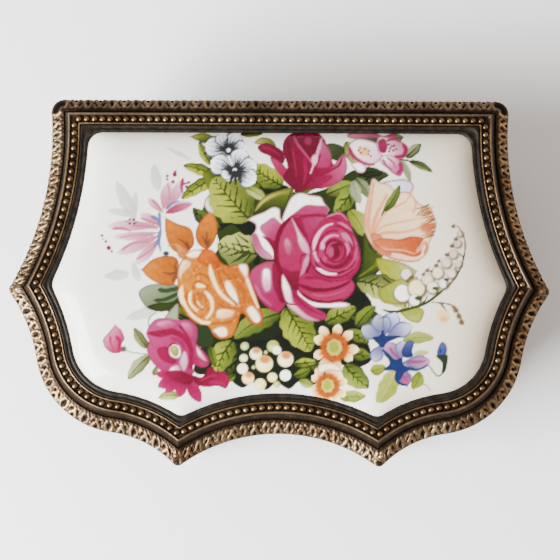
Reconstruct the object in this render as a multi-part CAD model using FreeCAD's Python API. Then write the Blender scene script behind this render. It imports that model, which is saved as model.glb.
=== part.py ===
"""Trinket box with a domed porcelain plaque in its hinged lid.

Millimetres, +Z up, +Y towards the hinge, origin on the surface the box stands
on, under the middle of its footprint.  Every ring follows one outline, the
lid's outer edge.  A section point is (inset, height): how far it lies inside
that edge, measured square to it, and how high it is.
"""
import math
import os

import FreeCAD
import Part

V = FreeCAD.Vector

# ---------------------------------------------------------------- outline
BACK_Y = 37.7                 # straight back edge
BACK_CORNER_X = 47.6          # where the back edge would meet the side arc
SIDE_CUSP = (55.2, -2.25)     # pointed cusp on each side
SIDE_BOW = 3.3                # how far the side arc curves inwards
SHOULDER_CENTRE = (31.15, -13.05)
SHOULDER_RADIUS = 18.2        # round shoulder between side and front cusps
SHOULDER_FROM = -10.25        # degrees, where the side ogee leaves the shoulder
SHOULDER_TO = -82.2           # degrees, where the front ogee leaves it
FRONT_CUSP = (20.3, -38.1)
FRONT_BOW = 6.85              # how far the front arc curves inwards
OUTER_CORNERS = (2.7, 1.1, 1.2)     # edge radii: back corner, side cusp, front cusp
PLAQUE_CORNERS = (3.0, 2.6, 2.4)    # the same three on the porcelain
SHARPEST = 0.3                      # least corner radius of any moulding

# ---------------------------------------------------------------- heights
FOOT_HEIGHT = 4.0
BASE_THICK = 0.8
WALL_BOTTOM = FOOT_HEIGHT + BASE_THICK
WALL_TOP = 30.6
RIM_TOP = 32.8                # top of the box rim
LID_Z = 33.0                  # underside of the closed lid
SEAT_TOP = 3.6                # seat of the bead moulding, above the lid's underside
LEDGE_LOW = 0.85              # the frame's inner ledge, above the lid's underside
LEDGE_TOP = 2.6
PLATE_TOP = 0.82              # top of the sheet plate that closes the lid
FIT = 0.02                    # gap left between pieces that touch

# ---------------------------------------------------------------- insets
WALL_OUT = 4.2
WALL_IN = 5.6
RIM_OUT = 3.3
BASE_OUT = 3.0
LEAF_IN = 2.9                 # inner edge of the lid's leaf moulding
BEAD_OUT = 3.7
BEAD_IN = 6.2
BEAD_FLOOR = 4.2              # height of the channel between the bead rims, above the lid's underside
THROAT = 6.7                  # frame wall round the plaque's bezel
FLANGE_IN = 9.8               # inner edge of the frame's ledge
PLATE_EDGE = 5.2
LINING_THICK = 0.6
PLAQUE_OUT = 7.1

# ---------------------------------------------------------------- hinge
PIN_RADIUS = 0.5
PIN_PLAY = 0.05
KNUCKLE_RADIUS = 1.1
LEAF_THICK = 0.6
PIN_Y = BACK_Y - WALL_OUT + KNUCKLE_RADIUS
PIN_Z = LID_Z + LEAF_THICK - KNUCKLE_RADIUS
PIN_HEAD = 0.6                # length of each end of the pin beyond the knuckles
KNUCKLES = 7
KNUCKLE_LENGTH = 7.8
KNUCKLE_GAP = 0.25
HINGE_LENGTH = KNUCKLES * KNUCKLE_LENGTH + (KNUCKLES - 1) * KNUCKLE_GAP
HINGE_REACH = HINGE_LENGTH / 2 + PIN_HEAD + 0.35    # half-width of every cut-out for the hinge
BODY_LEAF_DROP = 8.0
LID_LEAF_DEPTH = 3.2
KNUCKLE_ROOM = 0.2            # free space round a knuckle that turns
LID_LEAF_FRONT = PIN_Y + KNUCKLE_RADIUS - LID_LEAF_DEPTH
LID_RIVET_Y = LID_LEAF_FRONT + 0.9

FEET = {
    "foot_back_left": (-38.0, 27.5),
    "foot_back_right": (38.0, 27.5),
    "foot_front_left": (-22.0, -26.0),
    "foot_front_right": (22.0, -26.0),
}
BOSSES = [(53.1, -2.2), (20.5, -35.7)]              # by the right-hand cusps
BOSS_RADIUS = 1.1
SCREW_RADIUS = 0.8
SCREW_ROOM = 0.05
PLATE_SCREW_RADIUS = 0.6
PLATE_SCREW_INSET = 8.4       # they stand in the middle of the frame's ledge
RIVET_RADIUS = 0.4
BODY_RIVET_Z = 27.0


# ---------------------------------------------------------------- outline geometry
def unit(a, b):
    """Unit vector from a to b, in the plane."""
    length = math.hypot(b[0] - a[0], b[1] - a[1])
    return ((b[0] - a[0]) / length, (b[1] - a[1]) / length)


def arc_centre(start, end, bow):
    """Centre and radius of the arc start-end that bulges by bow towards the box's middle."""
    chord = math.hypot(end[0] - start[0], end[1] - start[1])
    radius = (chord ** 2 / 4 + bow ** 2) / (2 * bow)
    along = unit(start, end)
    outward = (-along[1], along[0])
    middle = ((start[0] + end[0]) / 2, (start[1] + end[1]) / 2)
    reach = radius - bow
    return (middle[0] + outward[0] * reach, middle[1] + outward[1] * reach), radius


def ogee_centre(degrees, cusp):
    """Centre and radius of the hollow arc from a cusp that runs smoothly into the shoulder."""
    ux = math.cos(math.radians(degrees))
    uy = math.sin(math.radians(degrees))
    tx = SHOULDER_CENTRE[0] + SHOULDER_RADIUS * ux
    ty = SHOULDER_CENTRE[1] + SHOULDER_RADIUS * uy
    dx = tx - cusp[0]
    dy = ty - cusp[1]
    radius = -(dx * dx + dy * dy) / (2 * (dx * ux + dy * uy))
    return (tx + ux * radius, ty + uy * radius), radius


SIDE_ARC = arc_centre((BACK_CORNER_X, BACK_Y), SIDE_CUSP, SIDE_BOW)
SIDE_OGEE = ogee_centre(SHOULDER_FROM, SIDE_CUSP)
FRONT_OGEE = ogee_centre(SHOULDER_TO, FRONT_CUSP)
FRONT_RADIUS = (FRONT_CUSP[0] ** 2 + FRONT_BOW ** 2) / (2 * FRONT_BOW)
FRONT_ARC = ((0.0, FRONT_CUSP[1] + FRONT_BOW - FRONT_RADIUS), FRONT_RADIUS)


def meeting_point(circle_a, circle_b, grow, near):
    """Where two circles, both grown by the same amount, cross closest to a point."""
    (ax, ay), ra = circle_a
    (bx, by), rb = circle_b
    ra += grow
    rb += grow
    span = math.hypot(bx - ax, by - ay)
    along = (ra * ra - rb * rb + span * span) / (2 * span)
    aside = math.sqrt(ra * ra - along * along)
    ux, uy = unit((ax, ay), (bx, by))
    found = []
    for sign in (1, -1):
        found.append((ax + along * ux - sign * aside * uy, ay + along * uy + sign * aside * ux))
    return min(found, key=lambda p: math.hypot(p[0] - near[0], p[1] - near[1]))


def on_circle(circle, grow, towards):
    """Point of a grown circle in the direction of another point."""
    centre, radius = circle
    ux, uy = unit(centre, towards)
    return (centre[0] + ux * (radius + grow), centre[1] + uy * (radius + grow))


def corner_radii(inset):
    """Edge radii of the outline at an inset: they shrink as the edge moves inwards."""
    return tuple(max(r - inset, SHARPEST) for r in OUTER_CORNERS)


def half_outline(inset, radii):
    """Right half, from the back edge's end to the front arc: points and the arcs between them."""
    r_back, r_side, r_front = radii
    grow = inset + r_back
    (cx, cy), radius = SIDE_ARC
    back_y = BACK_Y - grow
    back = (cx - math.sqrt((radius + grow) ** 2 - (back_y - cy) ** 2), back_y)
    side = meeting_point(SIDE_ARC, SIDE_OGEE, inset + r_side, SIDE_CUSP)
    front = meeting_point(FRONT_OGEE, FRONT_ARC, inset + r_front, FRONT_CUSP)
    join = []
    for degrees in (SHOULDER_FROM, SHOULDER_TO):
        reach = SHOULDER_RADIUS - inset
        join.append((SHOULDER_CENTRE[0] + reach * math.cos(math.radians(degrees)),
                     SHOULDER_CENTRE[1] + reach * math.sin(math.radians(degrees))))
    points = [
        (back[0], BACK_Y - inset),
        on_circle(SIDE_ARC, inset, back),
        on_circle(SIDE_ARC, inset, side),
        on_circle(SIDE_OGEE, inset, side),
        join[0],
        join[1],
        on_circle(FRONT_OGEE, inset, front),
        on_circle(FRONT_ARC, inset, front),
    ]
    arcs = [
        (back, r_back),
        (SIDE_ARC[0], SIDE_ARC[1] + inset),
        (side, r_side),
        (SIDE_OGEE[0], SIDE_OGEE[1] + inset),
        (SHOULDER_CENTRE, SHOULDER_RADIUS - inset),
        (FRONT_OGEE[0], FRONT_OGEE[1] + inset),
        (front, r_front),
    ]
    return points, arcs


def arc_edge(start, end, centre, radius, z, mirror):
    """Short arc between two points of a circle."""
    ux, uy = unit(centre, ((start[0] + end[0]) / 2, (start[1] + end[1]) / 2))
    middle = (centre[0] + ux * radius, centre[1] + uy * radius)
    places = [V(mirror * p[0], p[1], z) for p in (start, middle, end)]
    return Part.Arc(*places).toShape()


def outline(inset, z, radii=None, scale=1.0):
    """Closed wire of the box's outline, moved in by inset; scale shrinks it about the middle."""
    points, arcs = half_outline(inset, radii or corner_radii(inset))
    edges = [Part.LineSegment(V(-points[0][0], points[0][1], z), V(points[0][0], points[0][1], z)).toShape()]
    for i, (centre, radius) in enumerate(arcs):
        edges.append(arc_edge(points[i], points[i + 1], centre, radius, z, 1))
    last = points[-1]
    front_y = FRONT_ARC[0][1] + FRONT_ARC[1] + inset
    edges.append(Part.Arc(V(last[0], last[1], z), V(0, front_y, z), V(-last[0], last[1], z)).toShape())
    for i in range(len(arcs) - 1, -1, -1):
        centre, radius = arcs[i]
        edges.append(arc_edge(points[i + 1], points[i], centre, radius, z, -1))
    wire = Part.Wire(edges)
    if scale != 1.0:
        about = FreeCAD.Matrix()
        about.scale(scale, scale, 1.0)
        wire = wire.transformGeometry(about)
    return wire


# ---------------------------------------------------------------- solids
def closed_solid(faces):
    """One solid from faces that close on each other."""
    shell = Part.makeShell(faces)
    shell.sewShape()
    solid = Part.Solid(shell if shell.ShapeType == "Shell" else shell.Shells[0])
    if solid.Volume < 0:
        solid.reverse()
    return solid


def ring(section):
    """Ring round the box: each section point is (inset, z) or (inset, z, corner radii)."""
    wires = []
    for point in section:
        radii = point[2] if len(point) > 2 else None
        wires.append(outline(point[0], point[1], radii))
    faces = []
    for i, wire in enumerate(wires):
        following = wires[(i + 1) % len(wires)]
        if section[i][1] == section[(i + 1) % len(section)][1]:
            faces.append(Part.makeFace([wire, following], "Part::FaceMakerBullseye"))
        else:
            faces.extend(Part.makeLoft([wire, following], False, True).Faces)
    return closed_solid(faces)


def prism(inset, z_low, z_high, radii=None):
    """Plate of the box's outline."""
    face = Part.Face(outline(inset, z_low, radii))
    return face.extrude(V(0, 0, z_high - z_low))


def stack(levels):
    """Solid through outlines at (inset, z, radii, scale), lowest first, closed flat at both ends."""
    wires = [outline(*level) for level in levels]
    faces = [Part.Face(wires[0]), Part.Face(wires[-1])]
    for low, high in zip(wires, wires[1:]):
        faces.extend(Part.makeLoft([low, high], False, True).Faces)
    return closed_solid(faces)


def box(low, high):
    return Part.makeBox(high[0] - low[0], high[1] - low[1], high[2] - low[2], V(*low))


def upright(x, y, z_low, z_high, radius):
    return Part.makeCylinder(radius, z_high - z_low, V(x, y, z_low))


def lid_z(height):
    """Height above the underside of the closed lid."""
    return LID_Z + height


# ---------------------------------------------------------------- lid
def leaf_moulding():
    """Sloping outer band that carries the leaves."""
    section = [(0.0, lid_z(0)), (0.0, lid_z(0.45)), (0.3, lid_z(0.55)), (2.6, lid_z(2.05)),
               (LEAF_IN, lid_z(2.05)), (LEAF_IN, lid_z(0))]
    return ring(section).cut(knuckle_relief())


def lid_frame():
    """Structural ring: cove outside, seat for the beads on top, ledge and throat inside."""
    section = [(LEAF_IN, lid_z(0)), (LEAF_IN, lid_z(2.0)), (3.1, lid_z(2.35)), (3.35, lid_z(3.0)),
               (BEAD_OUT, lid_z(SEAT_TOP)), (BEAD_IN, lid_z(SEAT_TOP)), (BEAD_IN, lid_z(4.45)),
               (THROAT, lid_z(4.25)), (THROAT, lid_z(LEDGE_TOP)), (FLANGE_IN, lid_z(LEDGE_TOP)),
               (FLANGE_IN, lid_z(LEDGE_LOW)), (PLATE_EDGE - 0.1, lid_z(LEDGE_LOW)),
               (PLATE_EDGE - 0.1, lid_z(0))]
    solid = ring(section)
    pocket = box((-HINGE_REACH, LID_LEAF_FRONT, LID_Z - 1), (HINGE_REACH, PIN_Y, lid_z(LEAF_THICK)))
    solid = solid.cut(pocket).cut(knuckle_relief())
    for x, y in plate_screw_places():
        solid = solid.cut(upright(x, y, lid_z(-1), lid_z(2.3), PLATE_SCREW_RADIUS + SCREW_ROOM))
    for x in knuckle_centres(1):
        solid = solid.cut(upright(x, LID_RIVET_Y, lid_z(-1), lid_z(1.5), RIVET_RADIUS))
    return solid


def knuckle_relief():
    """Room above the knuckles, in the underside of the lid."""
    around = KNUCKLE_RADIUS + KNUCKLE_ROOM
    return box((-HINGE_REACH, PIN_Y - around, LID_Z - 1), (HINGE_REACH, PIN_Y + around, PIN_Z + around))


def plate_screw_places():
    """Screws round the lid's ledge: back, sides, shoulders and front."""
    side = on_circle(SIDE_ARC, PLATE_SCREW_INSET, (0.0, 8.0))
    shoulder = on_circle((SHOULDER_CENTRE, SHOULDER_RADIUS), -PLATE_SCREW_INSET, (45.0, -27.0))
    places = [(0.0, FRONT_ARC[0][1] + FRONT_ARC[1] + PLATE_SCREW_INSET)]
    for x, y in ((32.0, BACK_Y - PLATE_SCREW_INSET), side, shoulder):
        places += [(-x, y), (x, y)]
    return places


def bead_moulding():
    """Raised band of beads between two fine rims."""
    outer = BEAD_OUT + FIT
    inner = BEAD_IN - FIT
    low = lid_z(SEAT_TOP + FIT)
    section = [(outer, low), (outer, lid_z(4.3)), (3.9, lid_z(4.55)), (4.15, lid_z(4.55)),
               (4.3, lid_z(BEAD_FLOOR)), (5.75, lid_z(BEAD_FLOOR)), (5.9, lid_z(4.65)), (inner, lid_z(4.6)),
               (inner, low)]
    return ring(section)


def cusp_bosses():
    """Small round bosses that cover the mitres of the leaf band at the four cusps."""
    band = leaf_moulding().fuse(lid_frame())
    solids = []
    for x, y in BOSSES:
        for side in (-1, 1):
            button = Part.makeSphere(BOSS_RADIUS, V(side * x, y, lid_z(0.75)))
            button = button.common(box((side * x - 2, y - 2, lid_z(0.8)), (side * x + 2, y + 2, lid_z(2.4))))
            solids.append(button.cut(band))
    return Part.makeCompound(solids)


def plaque_bezel():
    """Thin dark collar that is folded over the shoulder of the porcelain."""
    outer = THROAT + 0.03
    inner = PLAQUE_OUT - 0.1
    section = [(outer, lid_z(LEDGE_TOP)), (outer, lid_z(4.2)), (7.4, lid_z(3.85), PLAQUE_CORNERS),
               (7.3, lid_z(3.55), PLAQUE_CORNERS), (inner, lid_z(3.6)), (inner, lid_z(LEDGE_TOP))]
    return ring(section)


PLAQUE_LOW = LEDGE_TOP + FIT
PILLOW = [(PLAQUE_OUT, PLAQUE_LOW), (PLAQUE_OUT, 3.2), (7.35, 3.5), (7.65, 4.15), (8.3, 4.9), (9.5, 5.7),
          (11.2, 6.45), (13.2, 7.0), (15.2, 7.35)]
CROWN = [(0.62, 7.85), (0.28, 8.1)]         # scale about the middle, height
HOLLOW_OUT = 11.0


def porcelain_plaque():
    """Domed plaque with a hollow back."""
    levels = [(inset, lid_z(z), PLAQUE_CORNERS) for inset, z in PILLOW]
    last = PILLOW[-1][0]
    levels += [(last, lid_z(z), PLAQUE_CORNERS, scale) for scale, z in CROWN]
    hollow = [(HOLLOW_OUT, lid_z(PLAQUE_LOW), PLAQUE_CORNERS), (12.5, lid_z(3.7), PLAQUE_CORNERS),
              (last, lid_z(4.3), PLAQUE_CORNERS), (last, lid_z(4.9), PLAQUE_CORNERS, 0.5)]
    mouth = prism(HOLLOW_OUT, lid_z(2.0), lid_z(PLAQUE_LOW), PLAQUE_CORNERS)
    return stack(levels).cut(mouth).cut(stack(hollow))


def plaque_backing():
    """Card that packs the porcelain against the lid's back plate."""
    return prism(FLANGE_IN + 0.2, lid_z(LEDGE_LOW), lid_z(LEDGE_TOP - FIT))


def lid_back_plate():
    """Sheet plate that closes the lid from below, with countersunk holes."""
    plate = prism(PLATE_EDGE, lid_z(FIT), lid_z(PLATE_TOP))
    notch = box((-HINGE_REACH, LID_LEAF_FRONT - 0.1, LID_Z - 1), (HINGE_REACH, BACK_Y, lid_z(1)))
    plate = plate.cut(notch)
    for x, y in plate_screw_places():
        plate = plate.cut(screw(x, y, SCREW_ROOM))
    return plate


def screw(x, y, room=0.0):
    """Small countersunk screw, head down; room swells it to make its hole."""
    shank = PLATE_SCREW_RADIUS + room
    head = Part.makeCone(PLATE_SCREW_RADIUS * 2 + room, shank, 0.5, V(x, y, lid_z(FIT)))
    return head.fuse(upright(x, y, lid_z(FIT), lid_z(2.2), shank))


def lid_plate_screws():
    return Part.makeCompound([screw(x, y) for x, y in plate_screw_places()])


def lid_lining():
    """Velvet-covered pad under the lid."""
    levels = [(7.3, lid_z(-1.9)), (6.6, lid_z(-1.3)), (6.6, lid_z(0.0))]
    return stack(levels)


# ---------------------------------------------------------------- box
def body_shell():
    """Standing wall, one ring all the way round."""
    section = [(WALL_OUT, WALL_BOTTOM), (WALL_OUT, WALL_TOP), (WALL_IN, WALL_TOP), (WALL_IN, WALL_BOTTOM)]
    solid = ring(section)
    for x in knuckle_centres(0):
        solid = solid.cut(body_rivet_hole(x))
    return solid


def body_rim():
    """Half-round moulding along the top of the wall, cut away where the hinge sits."""
    section = [(WALL_OUT, WALL_TOP), (3.6, 30.8), (RIM_OUT, 31.3), (RIM_OUT, 31.9), (3.6, 32.5),
               (WALL_OUT, RIM_TOP), (WALL_IN, RIM_TOP), (WALL_IN, WALL_TOP)]
    gap = box((-HINGE_REACH, BACK_Y - WALL_OUT - FIT, 30), (HINGE_REACH, BACK_Y, 34))
    step_y = PIN_Y - KNUCKLE_RADIUS - KNUCKLE_ROOM
    step = box((-HINGE_REACH, step_y, PIN_Z - KNUCKLE_RADIUS - KNUCKLE_ROOM), (HINGE_REACH, BACK_Y, 34))
    return ring(section).cut(gap).cut(step)


def base_moulding():
    """Stepped plinth round the foot of the wall."""
    section = [(BASE_OUT, FOOT_HEIGHT), (BASE_OUT, 5.2), (3.35, 5.5), (3.35, 6.0), (3.75, 6.7), (3.95, 7.8),
               (WALL_OUT, 8.3), (WALL_OUT, FOOT_HEIGHT)]
    return ring(section)


def base_plate():
    """Bottom plate, inside the plinth and under the wall."""
    plate = prism(WALL_OUT, FOOT_HEIGHT, FOOT_HEIGHT + BASE_THICK)
    for x, y in FEET.values():
        plate = plate.cut(upright(x, y, 3, 6, SCREW_RADIUS + SCREW_ROOM))
    return plate


def foot(x, y):
    """Turned bun foot with a blind hole for its screw."""
    profile = [(0, 0), (2.6, 0), (3.3, 0.5), (3.55, 1.2), (3.3, 1.9), (2.5, 2.4), (2.5, 2.8), (3.1, 3.2),
               (3.3, FOOT_HEIGHT), (0, FOOT_HEIGHT)]
    points = [V(x + r, y, z) for r, z in profile]
    face = Part.Face(Part.makePolygon(points + points[:1]))
    solid = face.revolve(V(x, y, 0), V(0, 0, 1), 360)
    return solid.cut(upright(x, y, 1.2, 5, SCREW_RADIUS + SCREW_ROOM))


def foot_screws():
    """Pan-head screws from inside the box down into the feet."""
    solids = []
    for x, y in FEET.values():
        head = upright(x, y, WALL_BOTTOM, WALL_BOTTOM + 0.6, 2 * SCREW_RADIUS)
        solids.append(head.fuse(upright(x, y, 1.4, WALL_BOTTOM, SCREW_RADIUS)))
    return Part.makeCompound(solids)


def wall_lining():
    """Velvet on thin card round the inside of the wall."""
    outer = WALL_IN + 0.05
    inner = outer + LINING_THICK
    low = WALL_BOTTOM + 0.05
    high = RIM_TOP - 0.6
    return ring([(outer, low), (outer, high), (inner, high), (inner, low)])


def floor_pad():
    """Velvet cushion on the bottom."""
    edge = WALL_IN + LINING_THICK + 0.25
    levels = [(edge + 0.3, 5.6), (edge, 6.1), (edge, 7.4), (edge + 0.9, 8.4)]
    return stack(levels)


# ---------------------------------------------------------------- hinge
def knuckle_spans(first):
    """Stretches of the pin that one leaf's knuckles cover: even ones or odd ones."""
    pitch = KNUCKLE_LENGTH + KNUCKLE_GAP
    spans = []
    for i in range(first, KNUCKLES, 2):
        start = -HINGE_LENGTH / 2 + i * pitch
        spans.append((start, start + KNUCKLE_LENGTH))
    return spans


def knuckle_centres(first):
    return [(start + end) / 2 for start, end in knuckle_spans(first)]


def body_rivet_hole(x):
    return Part.makeCylinder(RIVET_RADIUS, 6, V(x, BACK_Y - WALL_OUT - 3, BODY_RIVET_Z), V(0, 1, 0))


def knuckle(span):
    return Part.makeCylinder(KNUCKLE_RADIUS, span[1] - span[0], V(span[0], PIN_Y, PIN_Z), V(1, 0, 0))


def hinge_leaf(plate, first, strip):
    """Leaf with its knuckles; strip gives the tongue between the plate and one knuckle."""
    others = knuckle_spans(1 - first)
    for span in others:
        plate = plate.cut(box((span[0] - KNUCKLE_GAP, PIN_Y - KNUCKLE_RADIUS - KNUCKLE_ROOM, PIN_Z - 1.6),
                              (span[1] + KNUCKLE_GAP, BACK_Y, PIN_Z + 3)))
    solid = plate
    for span in knuckle_spans(first):
        solid = solid.fuse(strip(span)).fuse(knuckle(span))
    bore = Part.makeCylinder(PIN_RADIUS + PIN_PLAY, HINGE_LENGTH + 4, V(-HINGE_LENGTH / 2 - 2, PIN_Y, PIN_Z),
                             V(1, 0, 0))
    return solid.cut(bore).removeSplitter()


def hinge_body_leaf():
    """Leaf on the outside of the back wall."""
    face_y = BACK_Y - WALL_OUT
    half = HINGE_LENGTH / 2
    plate = box((-half, face_y, PIN_Z - BODY_LEAF_DROP), (half, face_y + LEAF_THICK, PIN_Z - 1.0))

    def strip(span):
        return box((span[0], face_y, PIN_Z - 1.2), (span[1], face_y + LEAF_THICK, PIN_Z))

    solid = hinge_leaf(plate, 0, strip)
    for x in knuckle_centres(0):
        solid = solid.cut(body_rivet_hole(x))
    return solid


def hinge_lid_leaf():
    """Leaf let into the underside of the lid."""
    half = HINGE_LENGTH / 2
    top = lid_z(LEAF_THICK)
    plate = box((-half, LID_LEAF_FRONT + 0.02, top - LEAF_THICK), (half, PIN_Y - KNUCKLE_RADIUS * 0.3, top))

    def strip(span):
        return box((span[0], PIN_Y - KNUCKLE_RADIUS, top - LEAF_THICK), (span[1], PIN_Y, top))

    solid = hinge_leaf(plate, 1, strip)
    for x in knuckle_centres(1):
        solid = solid.cut(upright(x, LID_RIVET_Y, lid_z(-1), lid_z(2), RIVET_RADIUS))
    return solid


def hinge_pin():
    """Wire through all the knuckles, headed at both ends."""
    half = HINGE_LENGTH / 2
    start = V(-half - PIN_HEAD, PIN_Y, PIN_Z)
    wire = Part.makeCylinder(PIN_RADIUS, HINGE_LENGTH + 2 * PIN_HEAD, start, V(1, 0, 0))
    for x in (-half - PIN_HEAD, half + 0.1):
        wire = wire.fuse(Part.makeCylinder(PIN_RADIUS + 0.3, PIN_HEAD - 0.1, V(x, PIN_Y, PIN_Z), V(1, 0, 0)))
    return wire.removeSplitter()


def body_hinge_rivets():
    """Rivets through the back wall and the box's leaf, with a head outside."""
    face_y = BACK_Y - WALL_OUT + LEAF_THICK
    length = WALL_IN - WALL_OUT + LEAF_THICK
    solids = []
    for x in knuckle_centres(0):
        shank = Part.makeCylinder(RIVET_RADIUS, length, V(x, face_y - length, BODY_RIVET_Z), V(0, 1, 0))
        head = Part.makeCylinder(2 * RIVET_RADIUS, 0.3, V(x, face_y, BODY_RIVET_Z), V(0, 1, 0))
        solids.append(shank.fuse(head).removeSplitter())
    return Part.makeCompound(solids)


def lid_hinge_rivets():
    """Flush rivets that hold the lid's leaf."""
    places = knuckle_centres(1)
    return Part.makeCompound([upright(x, LID_RIVET_Y, lid_z(0), lid_z(1.5), RIVET_RADIUS) for x in places])


def main():
    os.makedirs("parts", exist_ok=True)
    nodes = {
        "leaf_moulding": leaf_moulding(),
        "lid_frame": lid_frame(),
        "bead_moulding": bead_moulding(),
        "cusp_bosses": cusp_bosses(),
        "plaque_bezel": plaque_bezel(),
        "porcelain_plaque": porcelain_plaque(),
        "plaque_backing": plaque_backing(),
        "lid_back_plate": lid_back_plate(),
        "lid_plate_screws": lid_plate_screws(),
        "lid_lining": lid_lining(),
        "body_shell": body_shell(),
        "body_rim": body_rim(),
        "base_moulding": base_moulding(),
        "base_plate": base_plate(),
        "foot_screws": foot_screws(),
        "wall_lining": wall_lining(),
        "floor_pad": floor_pad(),
        "hinge_body_leaf": hinge_body_leaf(),
        "hinge_lid_leaf": hinge_lid_leaf(),
        "hinge_pin": hinge_pin(),
        "body_hinge_rivets": body_hinge_rivets(),
        "lid_hinge_rivets": lid_hinge_rivets(),
    }
    for name, (x, y) in FEET.items():
        nodes[name] = foot(x, y)
    for name, shape in nodes.items():
        print(name, "solids", len(shape.Solids), "valid", shape.isValid(), "volume", round(shape.Volume, 1))
        shape.exportStep("parts/" + name + ".step")


main()
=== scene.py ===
import math

import bmesh
import bpy
import numpy as np
from mathutils import Matrix, Vector
from mathutils.kdtree import KDTree


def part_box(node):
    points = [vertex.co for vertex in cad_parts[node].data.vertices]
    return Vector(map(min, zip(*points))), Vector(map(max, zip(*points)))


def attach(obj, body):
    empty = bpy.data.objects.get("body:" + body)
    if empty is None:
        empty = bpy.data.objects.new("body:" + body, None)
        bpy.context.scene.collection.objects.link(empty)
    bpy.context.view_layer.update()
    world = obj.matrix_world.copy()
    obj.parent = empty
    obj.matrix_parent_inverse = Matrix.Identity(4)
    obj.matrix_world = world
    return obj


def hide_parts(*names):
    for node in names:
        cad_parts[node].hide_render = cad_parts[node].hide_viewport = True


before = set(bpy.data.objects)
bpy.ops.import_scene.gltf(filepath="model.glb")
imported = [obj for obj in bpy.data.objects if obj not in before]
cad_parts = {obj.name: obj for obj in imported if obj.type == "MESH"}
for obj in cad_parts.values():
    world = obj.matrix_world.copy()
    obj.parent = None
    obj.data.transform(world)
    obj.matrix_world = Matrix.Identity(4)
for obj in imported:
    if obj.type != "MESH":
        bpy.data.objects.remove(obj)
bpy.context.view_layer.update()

# Scene of the trinket box.  The code works in millimetres and MM turns them into metres.
MM = 0.001


def node_mm(name):
    """Lowest and highest corner of a CAD node, in millimetres."""
    low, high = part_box(name)
    return [c / MM for c in low], [c / MM for c in high]


# ---------------------------------------------------------------- outline (same driving sizes as the CAD)
BACK_Y = node_mm("leaf_moulding")[1][1]
BACK_CORNER_X = 47.6
SIDE_CUSP = np.array([55.2, -2.25])
SIDE_BOW = 3.3
SHOULDER = np.array([31.15, -13.05])
SHOULDER_RADIUS = 18.2
SHOULDER_FROM = math.radians(-10.25)
SHOULDER_TO = math.radians(-82.2)
FRONT_CUSP = np.array([20.3, -38.1])
FRONT_BOW = 6.85
OUTER_CORNERS = (2.7, 1.1, 1.2)
PLAQUE_CORNERS = (3.0, 2.6, 2.4)
SHARPEST = 0.3
LID_Z = node_mm("leaf_moulding")[0][2]


def heading(angle):
    return np.array([math.cos(angle), math.sin(angle)])


def hollow_arc(start, end, bow):
    """Centre and radius of the arc from start to end that bulges inwards by bow."""
    chord = end - start
    length = np.hypot(*chord)
    radius = (length ** 2 / 4 + bow ** 2) / (2 * bow)
    outward = np.array([-chord[1], chord[0]]) / length
    return (start + end) / 2 + outward * (radius - bow), radius


def ogee(angle, cusp):
    """Hollow arc from a cusp that runs smoothly into the shoulder at an angle."""
    touch = SHOULDER + SHOULDER_RADIUS * heading(angle)
    gap = touch - cusp
    radius = -(gap @ gap) / (2 * (gap @ heading(angle)))
    return touch + heading(angle) * radius, radius


SIDE_ARC = hollow_arc(np.array([BACK_CORNER_X, BACK_Y]), SIDE_CUSP, SIDE_BOW)
SIDE_OGEE = ogee(SHOULDER_FROM, SIDE_CUSP)
FRONT_OGEE = ogee(SHOULDER_TO, FRONT_CUSP)
FRONT_RADIUS = (FRONT_CUSP[0] ** 2 + FRONT_BOW ** 2) / (2 * FRONT_BOW)
FRONT_ARC = (np.array([0.0, FRONT_CUSP[1] + FRONT_BOW - FRONT_RADIUS]), FRONT_RADIUS)


def crossing(a, b, grow, near):
    """Crossing of two circles grown by the same amount, the one nearest a point."""
    (ca, ra), (cb, rb) = a, b
    ra, rb = ra + grow, rb + grow
    gap = cb - ca
    span = np.hypot(*gap)
    along = (ra * ra - rb * rb + span * span) / (2 * span)
    aside = math.sqrt(ra * ra - along * along)
    side = np.array([-gap[1], gap[0]]) / span
    found = [ca + gap / span * along + side * aside * sign for sign in (1, -1)]
    return min(found, key=lambda p: np.hypot(*(p - near)))


def angle_of(centre, point):
    return math.atan2(point[1] - centre[1], point[0] - centre[0])


def half_edges(inset, radii=None):
    """Edges of the right half at an inset: (centre, radius, first angle, last angle)."""
    radii = radii or [max(r - inset, SHARPEST) for r in OUTER_CORNERS]
    r_back, r_side, r_front = radii
    (cx, cy), big = SIDE_ARC
    y = BACK_Y - inset - r_back
    back = np.array([cx - math.sqrt((big + inset + r_back) ** 2 - (y - cy) ** 2), y])
    side = crossing(SIDE_ARC, SIDE_OGEE, inset + r_side, SIDE_CUSP)
    front = crossing(FRONT_OGEE, FRONT_ARC, inset + r_front, FRONT_CUSP)

    def span(centre, radius, first, last):
        while last - first > math.pi:
            last -= 2 * math.pi
        while last - first < -math.pi:
            last += 2 * math.pi
        return centre, radius, first, last

    a_back = angle_of(SIDE_ARC[0], back)
    a_side = angle_of(SIDE_ARC[0], side)
    b_side = angle_of(SIDE_OGEE[0], side)
    a_front = angle_of(FRONT_OGEE[0], front)
    b_front = angle_of(FRONT_ARC[0], front)
    return back, [
        span(back, r_back, math.pi / 2, a_back + math.pi),
        span(SIDE_ARC[0], SIDE_ARC[1] + inset, a_back, a_side),
        span(side, r_side, a_side + math.pi, b_side + math.pi),
        span(SIDE_OGEE[0], SIDE_OGEE[1] + inset, b_side, SHOULDER_FROM + math.pi),
        span(SHOULDER, SHOULDER_RADIUS - inset, SHOULDER_FROM, SHOULDER_TO),
        span(FRONT_OGEE[0], FRONT_OGEE[1] + inset, SHOULDER_TO + math.pi, a_front),
        span(front, r_front, a_front + math.pi, b_front + math.pi),
        span(FRONT_ARC[0], FRONT_ARC[1] + inset, b_front, math.pi / 2),
    ]


def edge_length(edge):
    centre, radius, first, last = edge
    return radius * abs(last - first)


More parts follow.
